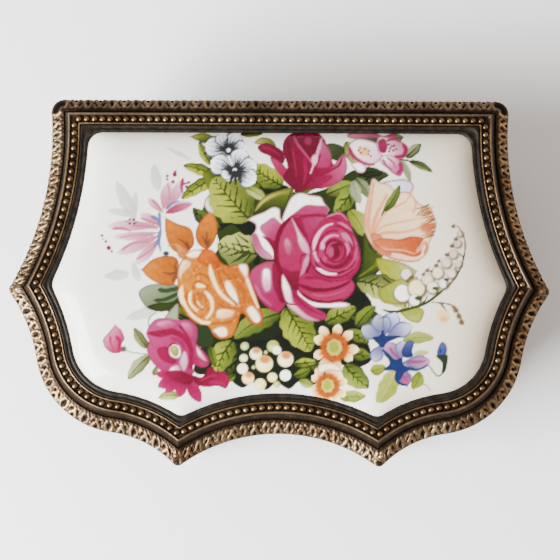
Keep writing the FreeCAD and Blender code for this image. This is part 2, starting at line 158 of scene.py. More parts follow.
CORNER_STEPS = 5
CORNER_RUNS = (1, 3, 7)        # the rounded corners among the counts, where 0 is the back line


def loop_counts(spacing, inset):
    """Number of steps on each half edge, the back line first, for about this spacing."""
    back, edges = half_edges(inset)
    counts = [max(2, round(back[0] / spacing))]
    for number, edge in enumerate(edges, 1):
        steps = max(2, round(edge_length(edge) / spacing))
        counts.append(CORNER_STEPS if number in CORNER_RUNS else steps)
    return counts


def half_loop(inset, counts, radii=None):
    """Points of the right half, from the middle of the back to the middle of the front."""
    back, edges = half_edges(inset, radii)
    t = np.linspace(0, 1, counts[0], endpoint=False)
    runs = [np.stack([back[0] * t, np.full_like(t, BACK_Y - inset)], 1)]
    for (centre, radius, first, last), count in zip(edges, counts[1:]):
        angle = first + (last - first) * np.linspace(0, 1, count, endpoint=False)
        runs.append(centre + radius * np.stack([np.cos(angle), np.sin(angle)], 1))
    runs.append(np.array([[0.0, FRONT_ARC[0][1] + FRONT_ARC[1] + inset]]))
    return np.concatenate(runs)


def loop(inset, counts, radii=None):
    """Closed loop of points at an inset, clockwise from the middle of the back edge."""
    half = half_loop(inset, counts, radii)
    return np.concatenate([half, (half * [-1, 1])[-2:0:-1]])


def run_lengths(inset, counts):
    """For each loop point: distance along its run between cusps, that run's length, and its number.

    The runs are the back edge, the side, the shoulder with its ogees, and the front arc.
    """
    back, edges = half_edges(inset)
    lengths = [back[0]] + [edge_length(edge) for edge in edges]
    shoulder = lengths[4] + lengths[5] + lengths[6]
    run_of = [0, 0, 1, 1, 2, 2, 2, 2, 3]
    starts = [0.0, lengths[0], 0.0, lengths[2], 0.0, lengths[4], lengths[4] + lengths[5], shoulder, 0.0]
    place, number = [], []
    for i, count in enumerate(counts):
        t = np.linspace(0, 1, count, endpoint=False)
        place.append(starts[i] + (0 * t if i in CORNER_RUNS else t * lengths[i]))
        number.append(np.full(count, run_of[i]))
    place = np.concatenate(place + [[lengths[8]]])
    number = np.concatenate(number + [[3]])
    totals = np.array([2 * lengths[0], lengths[2], shoulder, 2 * lengths[8]])
    place = np.where(number == 0, place + lengths[0], place)
    mirrored = np.where(np.isin(number, (0, 3)), totals[number] - place, place)
    place = np.concatenate([place, mirrored[-2:0:-1]])
    number = np.concatenate([number, number[-2:0:-1]])
    return place, totals[number], number


# ---------------------------------------------------------------- meshes
PROBE = 0.05        # a loop this much further in shows which way is inwards


def new_mesh(name, points, faces, smooth=True):
    """Object from points in millimetres."""
    mesh = bpy.data.meshes.new(name)
    mesh.from_pydata((np.asarray(points) * MM).tolist(), [], faces)
    mesh.update()
    if smooth:
        mesh.polygons.foreach_set("use_smooth", [True] * len(mesh.polygons))
    piece = bpy.data.objects.new(name, mesh)
    bpy.context.scene.collection.objects.link(piece)
    return piece


def point_values(piece, name, values):
    layer = piece.data.attributes.new(name, "FLOAT", "POINT")
    layer.data.foreach_set("value", np.asarray(values, dtype=np.float32).ravel())


def coordinates(mesh):
    flat = np.empty(len(mesh.vertices) * 3, np.float32)
    mesh.vertices.foreach_get("co", flat)
    return flat.reshape(-1, 3)


def dense(section, step):
    """Section path with points no further apart than step; keeps every corner of it."""
    path = []
    for (d0, z0), (d1, z1) in zip(section, section[1:]):
        count = max(1, round(math.hypot(d1 - d0, z1 - z0) / step))
        for i in range(count):
            path.append((d0 + (d1 - d0) * i / count, z0 + (z1 - z0) * i / count))
    path.append(section[-1])
    return path


def sweep(name, face, rest, spacing, relief=None, radii=None):
    """Closed moulding round the outline.

    face is the dense stretch of section that shows, outside to inside as (inset, z); rest closes
    the section behind it.  relief(place, total, run, across) gives the height added square to the
    face, in millimetres; across is the distance along the face.
    """
    section = np.array(list(face) + list(rest))
    middle = float(np.mean([p[0] for p in face]))
    counts = loop_counts(spacing, middle)
    place, total, run = run_lengths(middle, counts)
    size = len(section)
    rows = [loop(inset, counts, radii(inset) if radii else None) for inset in section[:, 0]]
    inner = [loop(inset + PROBE, counts, radii(inset) if radii else None) for inset in section[:, 0]]
    xy = np.stack(rows, 1)
    inwards = (np.stack(inner, 1) - xy) / PROBE
    count = len(xy)
    points = np.concatenate([xy, np.broadcast_to(section[:, 1][None, :, None], (count, size, 1))], 2)
    heights = np.zeros((count, size))
    if relief:
        shown = len(face)
        steps = np.diff(section[:shown], axis=0)
        across = np.concatenate([[0], np.cumsum(np.hypot(steps[:, 0], steps[:, 1]))])
        slope = np.gradient(section[:shown], axis=0)
        slope /= np.maximum(np.hypot(slope[:, 0], slope[:, 1])[:, None], 1e-9)
        normal = np.stack([-slope[:, 1], slope[:, 0]], 1)
        grid = np.broadcast_arrays(place[:, None], total[:, None], run[:, None], across[None, :])
        heights[:, :shown] = relief(*grid)
        points[:, :shown, :2] += inwards[:, :shown] * (heights[:, :shown] * normal[:, 0])[..., None]
        points[:, :shown, 2] += heights[:, :shown] * normal[:, 1]
    index = np.arange(count * size).reshape(count, size)
    a, b = index, np.roll(index, -1, 0)
    quads = np.stack([a, b, np.roll(b, -1, 1), np.roll(a, -1, 1)], -1).reshape(-1, 4)
    piece = new_mesh(name, points.reshape(-1, 3), quads.tolist())
    point_values(piece, "relief", heights.reshape(-1))
    return piece


def ridge(x, y, path, width, height, taper=1.0):
    """Height of a rounded ridge along a path of points; width is its half-width at the start."""
    best = np.zeros_like(x)
    path = np.asarray(path, float)
    last = len(path) - 1
    for i in range(last):
        p, q = path[i], path[i + 1]
        along = q - p
        t = np.clip(((x - p[0]) * along[0] + (y - p[1]) * along[1]) / (along @ along), 0, 1)
        gap = np.hypot(x - p[0] - t * along[0], y - p[1] - t * along[1])
        share = (i + t) / last
        half = width * (1 + (taper - 1) * share)
        rise = height * np.sqrt(np.clip(1 - (gap / half) ** 2, 0, 1)) * (0.55 + 0.45 * half / width)
        best = np.maximum(best, rise)
    return best


def dome(x, y, cx, cy, rx, ry, height):
    return height * np.sqrt(np.clip(1 - ((x - cx) / rx) ** 2 - ((y - cy) / ry) ** 2, 0, 1))


def raised(x, y, ridges, domes):
    """Highest of several ridges (path, width, height, taper) and domes (centre, radii, height)."""
    height = np.zeros_like(x)
    for one in ridges:
        height = np.maximum(height, ridge(x, y, *one))
    for one in domes:
        height = np.maximum(height, dome(x, y, *one))
    return height


def curl(cx, cy, start_radius, end_radius, start, turn, steps=14):
    """Points of a spiral scroll; angles in degrees."""
    t = np.linspace(0, 1, steps)
    angle = np.radians(start + turn * t)
    radius = start_radius + (end_radius - start_radius) * t
    return np.stack([cx + radius * np.cos(angle), cy + radius * np.sin(angle)], 1)


# ---------------------------------------------------------------- materials
def srgb(red, green, blue):
    """Linear colour from 0-255 values."""
    c = np.array([red, green, blue]) / 255.0
    return tuple(np.where(c <= 0.04045, c / 12.92, ((c + 0.055) / 1.055) ** 2.4))


class Nodes:
    """Short way to write a material's node tree."""

    def __init__(self, name):
        self.material = bpy.data.materials.new(name)
        self.material.use_nodes = True
        self.tree = self.material.node_tree
        self.tree.nodes.clear()
        out = self.tree.nodes.new("ShaderNodeOutputMaterial")
        self.shader = self.tree.nodes.new("ShaderNodeBsdfPrincipled")
        self.tree.links.new(self.shader.outputs[0], out.inputs[0])

    def put(self, value, socket):
        if isinstance(value, bpy.types.NodeSocket):
            self.tree.links.new(value, socket)
        elif value is not None:
            socket.default_value = value if np.isscalar(value) else tuple(value) + (1.0,) * (4 - len(value))

    def set(self, **values):
        names = {"color": "Base Color", "metallic": "Metallic", "roughness": "Roughness", "normal": "Normal",
                 "specular": "Specular IOR Level", "sheen": "Sheen Weight",
                 "sheen_roughness": "Sheen Roughness", "sheen_tint": "Sheen Tint"}
        for key, value in values.items():
            self.put(value, self.shader.inputs[names[key]])

    def attribute(self, name, output="Fac"):
        node = self.tree.nodes.new("ShaderNodeAttribute")
        node.attribute_name = name
        return node.outputs[output]

    def place(self):
        return self.tree.nodes.new("ShaderNodeTexCoord").outputs["Object"]

    def noise(self, scale, detail=3.0, roughness=0.5, distortion=0.0):
        node = self.tree.nodes.new("ShaderNodeTexNoise")
        self.put(self.place(), node.inputs["Vector"])
        node.inputs["Scale"].default_value = scale
        node.inputs["Detail"].default_value = detail
        node.inputs["Roughness"].default_value = roughness
        node.inputs["Distortion"].default_value = distortion
        return node.outputs["Fac"]

    def rise(self, value, low, high):
        """Smooth step from 0 at low to 1 at high."""
        node = self.tree.nodes.new("ShaderNodeMapRange")
        node.interpolation_type = "SMOOTHSTEP"
        self.put(value, node.inputs[0])
        node.inputs[1].default_value = low
        node.inputs[2].default_value = high
        return node.outputs[0]

    def ramp(self, value, *stops):
        node = self.tree.nodes.new("ShaderNodeValToRGB")
        self.put(value, node.inputs[0])
        marks = node.color_ramp.elements
        while len(marks) < len(stops):
            marks.new(0.5)
        for mark, (position, color) in zip(marks, stops):
            mark.position = position
            mark.color = (color,) * 3 + (1,) if np.isscalar(color) else tuple(color) + (1,)
        return node.outputs["Color"]

    def math(self, operation, a, b=None):
        node = self.tree.nodes.new("ShaderNodeMath")
        node.operation = operation
        self.put(a, node.inputs[0])
        self.put(b, node.inputs[1])
        return node.outputs[0]

    def mix(self, share, a, b, blend="MIX"):
        node = self.tree.nodes.new("ShaderNodeMix")
        node.data_type = "RGBA"
        node.blend_type = blend
        self.put(share, node.inputs[0])
        self.put(a, node.inputs[6])
        self.put(b, node.inputs[7])
        return node.outputs[2]

    def bump(self, height, strength, distance):
        node = self.tree.nodes.new("ShaderNodeBump")
        node.inputs["Strength"].default_value = strength
        node.inputs["Distance"].default_value = distance
        self.put(height, node.inputs["Height"])
        return node.outputs["Normal"]


def antique_brass(name, recess=-0.16, crest=0.46, polish=0.3):
    """Old brass by its relief: black-brown in the recesses, rubbed pale on the crests, with fine grime."""
    m = Nodes(name)
    relief = m.attribute("relief")
    grime = m.noise(900.0, 5.0, 0.65)
    blotch = m.noise(160.0, 3.0)
    level = m.math("SUBTRACT", relief, m.math("MULTIPLY", m.math("SUBTRACT", grime, 0.5), 0.22))
    wear = m.rise(level, recess, crest)
    color = m.ramp(wear, (0.0, srgb(15, 10, 6)), (0.35, srgb(55, 41, 27)), (0.7, srgb(115, 93, 66)),
                   (1.0, srgb(174, 146, 106)))
    color = m.mix(m.ramp(blotch, (0.4, 0.0), (0.62, 0.6)), color, srgb(150, 116, 84), "MULTIPLY")
    rough = m.ramp(wear, (0.0, polish + 0.25), (1.0, polish))
    m.set(color=color, metallic=0.85, roughness=rough, specular=0.5, normal=m.bump(grime, 0.25, 0.00008))
    return m.material


def plain_brass():
    m = Nodes("plain_brass")
    stain = m.noise(220.0, 5.0, 0.6)
    scratch = m.noise(2600.0, 2.0)
    color = m.ramp(stain, (0.3, srgb(58, 42, 24)), (0.7, srgb(122, 94, 58)))
    m.set(color=color, metallic=0.9, roughness=m.ramp(stain, (0.3, 0.55), (0.7, 0.4)),
          normal=m.bump(scratch, 0.15, 0.00004))
    return m.material


def dark_bezel():
    m = Nodes("dark_bezel")
    stain = m.noise(700.0, 4.0, 0.6)
    color = m.ramp(stain, (0.3, srgb(13, 11, 8)), (0.75, srgb(40, 33, 25)))
    m.set(color=color, metallic=0.3, roughness=m.ramp(stain, (0.3, 0.42), (0.8, 0.6)), specular=0.15,
          normal=m.bump(stain, 0.12, 0.00005))
    return m.material


def porcelain():
    """Glazed porcelain; the painting is the point colour called paint, and the glaze is a little uneven."""
    m = Nodes("porcelain")
    paint = m.attribute("paint", "Color")
    cloud = m.noise(60.0, 2.0)
    color = m.mix(1.0, paint, m.ramp(cloud, (0.3, (0.96, 0.965, 0.97)), (0.7, (1.0, 1.0, 1.0))), "MULTIPLY")
    m.set(color=color, roughness=m.ramp(m.noise(2500.0, 2.0), (0.3, 0.12), (0.7, 0.16)), specular=0.38,
          normal=m.bump(m.noise(90.0, 2.0), 0.05, 0.0002))
    return m.material


def velvet():
    m = Nodes("velvet")
    nap = m.noise(240.0, 4.0, 0.6)
    pile = m.noise(6500.0, 2.0, 0.6)
    color = m.ramp(nap, (0.25, srgb(62, 4, 14)), (0.55, srgb(74, 6, 17)), (0.8, srgb(86, 9, 22)))
    m.set(color=m.mix(0.35, color, m.ramp(pile, (0.3, 0.35), (0.7, 1.0)), "MULTIPLY"), roughness=0.92,
          specular=0.1, normal=m.bump(pile, 0.7, 0.00025), sheen=0.3, sheen_roughness=0.35,
          sheen_tint=srgb(255, 150, 160))
    return m.material


def card():
    m = Nodes("card")
    fibre = m.noise(1800.0, 5.0, 0.7)
    m.set(color=m.ramp(fibre, (0.3, srgb(120, 100, 76)), (0.7, srgb(160, 140, 110))), roughness=0.9,
          normal=m.bump(fibre, 0.3, 0.0001))
    return m.material


def steel():
    m = Nodes("steel")
    brushed = m.noise(3000.0, 2.0)
    m.set(color=m.ramp(brushed, (0.3, srgb(130, 126, 120)), (0.7, srgb(180, 176, 168))), metallic=1.0,
          roughness=m.ramp(brushed, (0.3, 0.32), (0.7, 0.45)))
    return m.material


def stage_material():
    m = Nodes("pale_floor")
    grain = m.noise(40.0, 2.0)
    m.set(color=m.ramp(grain, (0.3, (0.86, 0.86, 0.86)), (0.7, (0.88, 0.88, 0.88))), roughness=0.9,
          specular=0.1)
    return m.material


def wear_materials(piece, material):
    piece.data.materials.clear()
    piece.data.materials.append(material)


def add(piece, body, slot, material, *nodes):
    """Set up a new piece: parent it to what it moves with, give it its finish, and hide the CAD nodes it
    stands for.
    """
    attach(piece, body)
    if nodes:
        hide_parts(*nodes)
    wear_materials(piece, material)
    return piece


# ---------------------------------------------------------------- lid metalwork
LEAF_UNIT = 4.9
LEAF_LOW, LEAF_HIGH = 0.1, 0.36        # the relief is worn down to between these


def repeats(place, total, unit):
    """Distance from the middle of the nearest repeat, with a whole number of repeats in the run."""
    count = np.maximum(np.round(total / unit), 1)
    share = place / total * count
    return (share - np.floor(share) - 0.5) * total / count


def leaf_relief(place, total, run, across):
    """Inverted leaf with a knob above it, between S-shaped scrolls; across grows inwards."""
    x = np.abs(repeats(place, total, LEAF_UNIT))
    y = across - 0.22
    half = LEAF_UNIT / 2
    leaf = ([(0.0, 1.5), (0.5, 0.85), (0.86, 0.12)], 0.5, 0.34, 0.9)
    ear = ([(0.78, 2.28), (1.16, 2.1), (1.26, 1.6)], 0.42, 0.3, 0.9)
    scroll = ([(2.2, 2.3), (1.86, 1.8), (1.76, 1.2), (1.86, 0.6), (2.2, 0.12)], 0.44, 0.32)
    knob = (0.0, 2.02, 0.56, 0.42, 0.42)
    dot = (1.3, 0.75, 0.3, 0.5, 0.3)
    rims = (([(0.0, 2.64), (half, 2.64)], 0.15, 0.2), ([(0.0, 0.34), (half, 0.34)], 0.14, 0.16))
    height = np.maximum(raised(x, y, (leaf, ear, scroll), (knob, dot)), raised(x, across, rims, ()))
    pit = dome(x, y, 0.0, 0.5, 0.26, 0.42, 0.2) + dome(x, y, 0.72, 1.6, 0.2, 0.3, 0.16)
    pit = pit + dome(x, y, half, 1.2, 0.2, 0.5, 0.18) + dome(x, y, 0.98, 0.3, 0.14, 0.3, 0.1)
    worn = 0.03 * np.sin(place * 3.1 + run) + 0.025 * np.sin(place * 7.7 + across * 5.0)
    height = np.minimum(np.maximum(height, LEAF_LOW), LEAF_HIGH) - pit + worn
    # the outermost strip is sunk a little and, through the relief, painted dark: painted shade along the
    # outer edge of the lid
    return np.where(across < 0.2, -0.08, height - 0.06)


def leaf_band(material):
    z = LID_Z
    face = [(0.0, z + 0.35)] + dense([(0.05, z + 0.5), (2.55, z + 2.05)], 0.125)
    rest = [(2.8, z + 2.06), (2.9, z + 1.9), (2.9, z), (0.1, z), (0.0, z + 0.1)]
    piece = sweep("lid_leaf_band", face, rest, 0.125, leaf_relief)
    return add(piece, "lid", "antique_brass", material, "leaf_moulding")


BEAD_LINE = 5.02
BEAD_PITCH = 1.6
BEAD_RADIUS = 0.72
BEAD_HEIGHT = 0.62
BEAD_CLEAR = 1.0
BEAD_TOP_WEAR_AND_HIGHLIGHT, BEAD_FALL = 0.34, 0.3        # rubbed wear and painted highlight on a bead's top, and how much it loses towards the edge
ROSETTE_PLACES = ((53.1, -2.2), (20.5, -35.7))
ROSETTE_HEIGHT = 1.15


def bead_rail(material):
    """Two fine rims with a trough between them; the wear follows the height."""
    z = LID_Z
    face = dense([(3.72, z + 4.05), (3.8, z + 4.4), (3.95, z + 4.62), (4.12, z + 4.6), (4.24, z + 4.36),
                  (4.4, z + 4.16), (5.6, z + 4.16), (5.78, z + 4.38), (5.9, z + 4.66), (6.05, z + 4.7),
                  (6.17, z + 4.5)], 0.12)
    rest = [(6.17, z + 3.62), (3.72, z + 3.62)]

    def relief(place, total, run, across):
        return 0.012 * np.sin(place * 5.3 + run) + 0.01 * np.sin(place * 13.0 + across * 4.0)

    piece = sweep("lid_bead_rail", face, rest, 0.3, relief)
    height = coordinates(piece.data)[:, 2].astype(float) / MM - z
    wear = np.clip(0.02 + (height - 4.1) * 0.4, -0.1, 0.26).astype(np.float32)
    piece.data.attributes["relief"].data.foreach_set("value", wear)
    return add(piece, "lid", "antique_brass", material, "bead_moulding")


BEZEL_OUT = 6.22
BEZEL_IN = 7.85


def bezel_corners(inset):
    """Corner radii that open out from the frame's sharp mitres to the porcelain's round corners."""
    share = min(max((inset - BEZEL_OUT) / (PLAQUE_EDGE - BEZEL_OUT), 0), 1)
    return [SHARPEST + (r - SHARPEST) * share for r in PLAQUE_CORNERS]


def bezel(material):
    """Dark rolled lip that holds the porcelain, with a fold along it."""
    z = LID_Z
    face = dense([(BEZEL_OUT, z + 4.35), (6.4, z + 4.6), (6.6, z + 4.62), (6.78, z + 4.4), (7.0, z + 4.34),
                  (7.35, z + 4.5), (7.62, z + 4.46), (BEZEL_IN, z + 4.22)], 0.12)
    rest = [(BEZEL_IN - 0.03, z + 4.1), (PLAQUE_EDGE - 0.1, z + 3.25), (PLAQUE_EDGE - 0.1, z + 2.9),
            (BEZEL_OUT, z + 2.9)]

    def relief(place, total, run, across):
        return 0.02 * np.sin(place * 2.3 + run) + 0.012 * np.sin(place * 6.1 + across * 3.0)

    piece = sweep("lid_bezel", face, rest, 0.35, relief, bezel_corners)
    return add(piece, "lid", "dark_bezel", material, "plaque_bezel")


def bead_lines(points, place, run):
    """Numbers of the points between two cusps, in order along the outline, for each such stretch."""
    lines = []
    for number, sides in ((0, (0,)), (1, (1, -1)), (2, (1, -1)), (3, (0,))):
        for side in sides:
            pick = np.flatnonzero((run == number) & (points[:, 0] * side >= 0))
            key = place[pick] if side else points[pick, 0]
            lines.append(pick[np.argsort(key)])
    return lines


def bead_places(inset, pitch, clear):
    """Evenly spaced points along each run at an inset, at least clear from the run's ends."""
    counts = loop_counts(0.05, inset)
    points = loop(inset, counts)
    place, total, run = run_lengths(inset, counts)
    found = []
    for pick in bead_lines(points, place, run):
        line = points[pick]
        gone = np.concatenate([[0], np.cumsum(np.hypot(*np.diff(line, axis=0).T))])
        room = gone[-1] - 2 * clear
        number = max(1, round(room / pitch))
        for k in range(number + 1):
            at = clear + room * k / number
            found.append([np.interp(at, gone, line[:, 0]), np.interp(at, gone, line[:, 1])])
    return np.array(found)


def ring_quads(base, rings, around):
    """Faces between neighbouring rings of points, numbered from base."""
    faces = []
    for ring in range(rings - 1):
        for j in range(around):
            a = base + ring * around + j
            b = base + ring * around + (j + 1) % around
            faces.append((a, a + around, b + around, b))
    return faces


def half_balls(name, centres, radius, height, rings=7, around=18):
    """Many small domes in one mesh; each has a flat hidden underside."""
    points, faces, relief = [], [], []
    for cx, cy, cz in centres:
        base = len(points)
        points.append((cx, cy, cz + height))
        # each bead is paler at its top and darker towards its edge: rubbed wear with a painted highlight
        relief.append(BEAD_TOP_WEAR_AND_HIGHLIGHT)
        for i in range(1, rings + 1):
            up = math.cos(math.pi / 2 * i / rings)
            out = math.sin(math.pi / 2 * i / rings)
            for j in range(around):
                turn = 2 * math.pi * j / around
                points.append((cx + radius * out * math.cos(turn), cy + radius * out * math.sin(turn),
                               cz + height * up))
                relief.append(BEAD_TOP_WEAR_AND_HIGHLIGHT - BEAD_FALL * out)
        for j in range(around):
            faces.append((base, base + 1 + j, base + 1 + (j + 1) % around))
        faces += ring_quads(base + 1, rings, around)
        faces.append(tuple(base + 1 + (rings - 1) * around + j for j in range(around))[::-1])
    piece = new_mesh(name, points, faces)
    point_values(piece, "relief", relief)
    return piece


def beads(material):
    """Row of beads in the rail."""
    places = bead_places(BEAD_LINE, BEAD_PITCH, BEAD_CLEAR)
    centres = [(x, y, LID_Z + 4.14) for x, y in places]
    return add(half_balls("lid_beads", centres, BEAD_RADIUS, BEAD_HEIGHT), "lid", "antique_brass", material)


def rosettes(material):
    """Round bosses over the mitres of the leaf band, each a button with a ring round it."""
    places = []
    for x, y in ROSETTE_PLACES:
        places += [(-x, y), (x, y)]
    points, faces, relief = [], [], []
    rings = [(0.0, 0.75), (0.25, 0.72), (0.45, 0.58), (0.56, 0.4), (0.68, 0.42), (0.8, 0.52), (0.92, 0.48),
             (1.05, 0.3), (1.1, 0.0), (1.1, -0.55)]
    around = 32
    for x, y in places:
        base = len(points)
        for radius, height in rings:
            for j in range(around):
                turn = 2 * math.pi * j / around
                r = max(radius, 0.001)
                points.append((x + r * math.cos(turn), y + r * math.sin(turn),
                               LID_Z + ROSETTE_HEIGHT + height))
                relief.append(height * 0.75 - 0.15)
        faces += ring_quads(base, len(rings), around)
    piece = new_mesh("lid_cusp_rosettes", points, faces)
    point_values(piece, "relief", relief)
    return add(piece, "lid", "antique_brass", material, "cusp_bosses")


def worn_and_shaded_brass(name, painted_shade=0.0):
    """The same old brass on plain mouldings: patches of grime and rubbed places; the last argument darkens
    it all as painted shade, used for the cove that lies in shade.
    """
    m = Nodes(name)
    grime = m.noise(700.0, 6.0, 0.7)
    blotch = m.noise(120.0, 3.0)
    color = m.ramp(grime, (0.3, srgb(28, 20, 12)), (0.52, srgb(60, 44, 28)), (0.74, srgb(108, 84, 56)))
    color = m.mix(m.math("MULTIPLY", blotch, 0.6), color, srgb(96, 66, 40), "MULTIPLY")
    # painted shade: the whole colour is mixed toward dark brown by the last argument
    color = m.mix(painted_shade, color, srgb(24, 16, 8))
    m.set(color=color, metallic=0.8, roughness=m.ramp(grime, (0.3, 0.6), (0.75, 0.42)), specular=0.15,
          normal=m.bump(m.noise(1500.0, 4.0), 0.5, 0.0001))
    return m.material


# ---------------------------------------------------------------- painting on the plaque
class Painting:
    """Enamel colours laid over one another at points of the plaque; sizes in millimetres, colours 0-255."""

    def __init__(self, x, y):
        self.x, self.y = x, y
        self.color = np.tile(np.array(PORCELAIN, float), (len(x), 1))

    def near(self, line, margin):
        low, high = np.min(line, 0) - margin, np.max(line, 0) + margin
        within = (self.x > low[0]) & (self.x < high[0]) & (self.y > low[1]) & (self.y < high[1])
        pick = np.flatnonzero(within)
        return pick, self.x[pick], self.y[pick]

    def lay(self, pick, cover, color):
        self.color[pick] = blend(self.color[pick], color, cover)

    def shape(self, outline, color, second=None, toward=0, soft=0.22, cover=1.0):
        """Filled smooth outline; the colour may turn into a second one toward a direction."""
        line = smooth_path(outline, True)
        pick, x, y = self.near(line, soft)
        if not len(pick):
            return
        gap, share = to_path(x, y, line)
        inside = np.zeros(len(x), bool)
        for (x0, y0), (x1, y1) in zip(line[:-1], line[1:]):
            if y0 != y1:
                inside ^= ((y0 > y) != (y1 > y)) & (x < x0 + (y - y0) * (x1 - x0) / (y1 - y0))
        edge = ease(0.5 + np.where(inside, gap, -gap) / soft)
        tint = np.asarray(color, float)
        if second is not None:
            ahead = heading(math.radians(toward))
            reach = line @ ahead
            t = (x * ahead[0] + y * ahead[1] - reach.min()) / np.ptp(reach)
            tint = blend(tint, second, ease(t))
        outline_shade = np.where(inside, ease(1 - gap / OUTLINE_WIDTH), 1)[:, None]
        self.lay(pick, edge * cover, tint * (1 - outline_shade * OUTLINE_SHADE))

    def stroke(self, path, width, color, end=0.3, soft=0.18, cover=1.0):
        """Brush line that swells from nothing and thins to end times its width."""
        line = smooth_path(path, False)
        pick, x, y = self.near(line, width + soft)
        if not len(pick):
            return
        gap, share = to_path(x, y, line)
        half = width / 2 * np.minimum(1, 0.25 + 4 * share) * (1 + (end - 1) * share)
        self.lay(pick, ease(0.5 + (half - gap) / soft) * cover, color)

    def spot(self, cx, cy, radius, color, tall=1.0, soft=0.25, cover=1.0):
        pick, x, y = self.near([(cx, cy)], radius * max(1, tall) + soft)
        gap = radius - np.hypot(x - cx, (y - cy) / tall)
        self.lay(pick, ease(0.5 + gap / soft) * cover, color)

    def blade(self, base, tip, width, bend):
        """Points near a petal or leaf: their numbers, where they are along and aside, and its length.

        along is 0 at the base and 1 at the tip, aside is measured from the bent midrib, and past is
        how far a point lies beyond either end.
        """
        base, tip = np.array(base, float), np.array(tip, float)
        length = np.hypot(*(tip - base))
        ahead = (tip - base) / length
        pick, x, y = self.near([base, tip], width)
        along = ((x - base[0]) * ahead[0] + (y - base[1]) * ahead[1]) / length
        aside = (y - base[1]) * ahead[0] - (x - base[0]) * ahead[1]
        t = np.clip(along, 0, 1)
        aside = aside - bend * 4 * t * (1 - t)
        past = np.maximum(np.maximum(-along, along - 1) * length, 0)
        return pick, along, aside, past, length

    def petal(self, base, tip, width, color, second, blunt=0.62, bend=0.0, rim=None, lines=0, line=None):
        """Petal from base to tip, one colour at the base and another at the tip."""
        pick, along, aside, past, length = self.blade(base, tip, width, bend)
        t = np.clip(along, 0, 1)
        half = width / 2 * np.maximum(np.sin(np.pi * t ** (math.log(0.5) / math.log(blunt))), 0) ** 0.7
        gap = half - np.hypot(aside, past)
        tint = blend(np.array(color, float), second, ease(t))
        if rim is not None:
            tint = blend(tint, rim, ease(1 - gap / 0.45))
        if lines:
            ray = np.abs((aside / np.maximum(half, 0.1) * lines / 2 + 0.5) % 1 - 0.5)
            tint = blend(tint, line, ease(1 - ray / 0.16) * (1 - t) * 0.8)
        self.lay(pick, ease(0.5 + gap / BLADE_SOFT), tint)

    def leaf(self, base, tip, width, light, dark, bend=0.0, side=1, veins=1.1, cover=1.0):
        """Pointed leaf with a midrib; side says which half is in shade, veins is their spacing or 0."""
        pick, along, aside, past, length = self.blade(base, tip, width, bend)
        t = np.clip(along, 0, 1)
        half = width / 2 * np.maximum(np.sin(np.pi * t ** 0.85), 0) ** 0.62
        half = half * (1 + 0.06 * np.sin(t * length * 2.6 + base[0]))
        gap = half - np.hypot(aside, past)
        shade = 0.06 + 0.5 * ease(side * aside / width * 2.4 + 0.3) * (1 - 0.4 * t) + 0.3 * ease(1 - 2.4 * t)
        shade = shade + 0.7 * ease(1 - gap / 0.4) * (side * aside > -0.3)
        shade = shade + 0.7 * ease(1.6 - np.abs(aside) / (0.05 + 0.14 * (1 - t)))
        if veins:
            slant = (along * length - np.abs(aside) * 0.8) / veins + (aside > 0) * 0.4
            slant = slant + 0.1 * np.sin(along * 9 + base[1])
            number = np.round(slant)
            reach = half * (0.62 + 0.25 * np.sin(number * 2.7 + base[0]))
            broad = 0.04 + 0.11 * (1 - np.abs(aside) / np.maximum(reach, 0.1))
            broad = broad * (1 + 0.3 * np.sin(number * 4.1))
            vein = ease(1.6 - np.abs(slant - number) / np.maximum(broad, 0.02))
            shade = shade + 0.75 * (vein * ease((reach - np.abs(aside)) * 2))
        color = blend(np.array(light, float), dark, np.clip(shade, 0, 1))
        self.lay(pick, ease(0.5 + gap / BLADE_SOFT) * cover, color)

    def scatter(self, amount, scale, seed):
        """Brushed unevenness, stronger where the colour is strong."""
        rng = np.random.default_rng(seed)
        change = np.zeros(len(self.x))
        for wave_number in range(9):
            turn, phase = rng.uniform(0, 2 * math.pi, 2)
            wave = scale * rng.uniform(0.6, 2.2)
            change += np.sin(wave * (self.x * math.cos(turn) + self.y * math.sin(turn)) + phase)
        strong = np.ptp(self.color, axis=1)[:, None] / 255
        self.color += amount * strong * (change / 3)[:, None] * np.array([1.0, 0.9, 0.8])


def ease(t):
    t = np.clip(t, 0, 1)
    return t * t * (3 - 2 * t)


def blend(color, other, share):
    """The colour turned into the other one by a share for each point."""
    return color + (np.asarray(other, float) - color) * share[:, None]


def smooth_path(points, closed, steps=5):
    """Curve through the points; a point given twice stays sharp."""
    p = np.array(points, float)
    p = np.concatenate([p[-1:], p, p[:2]]) if closed else np.concatenate([p[:1], p, p[-1:]])
    t = np.linspace(0, 1, steps, endpoint=False)[:, None]
    runs = []
    for a, b, c, d in zip(p, p[1:], p[2:], p[3:]):
        runs.append(0.5 * (2 * b + (c - a) * t + (2 * a - 5 * b + 4 * c - d) * t ** 2
                           + (3 * b - a - 3 * c + d) * t ** 3))
    runs.append(p[-2:-1])
    return np.concatenate(runs)


def to_path(x, y, line):
    """Distance to an open line, and the share of the line gone at the nearest place."""
    best = np.full(len(x), 1e9)
    share = np.zeros(len(x))
    last = len(line) - 1
    for i in range(last):
        p, q = line[i], line[i + 1]
        along = q - p
        size = along @ along
        if size < 1e-12:
            continue
        t = np.clip(((x - p[0]) * along[0] + (y - p[1]) * along[1]) / size, 0, 1)
        gap = np.hypot(x - p[0] - t * along[0], y - p[1] - t * along[1])
        closer = gap < best
        best = np.where(closer, gap, best)
        share = np.where(closer, (i + t) / last, share)
    return best, share


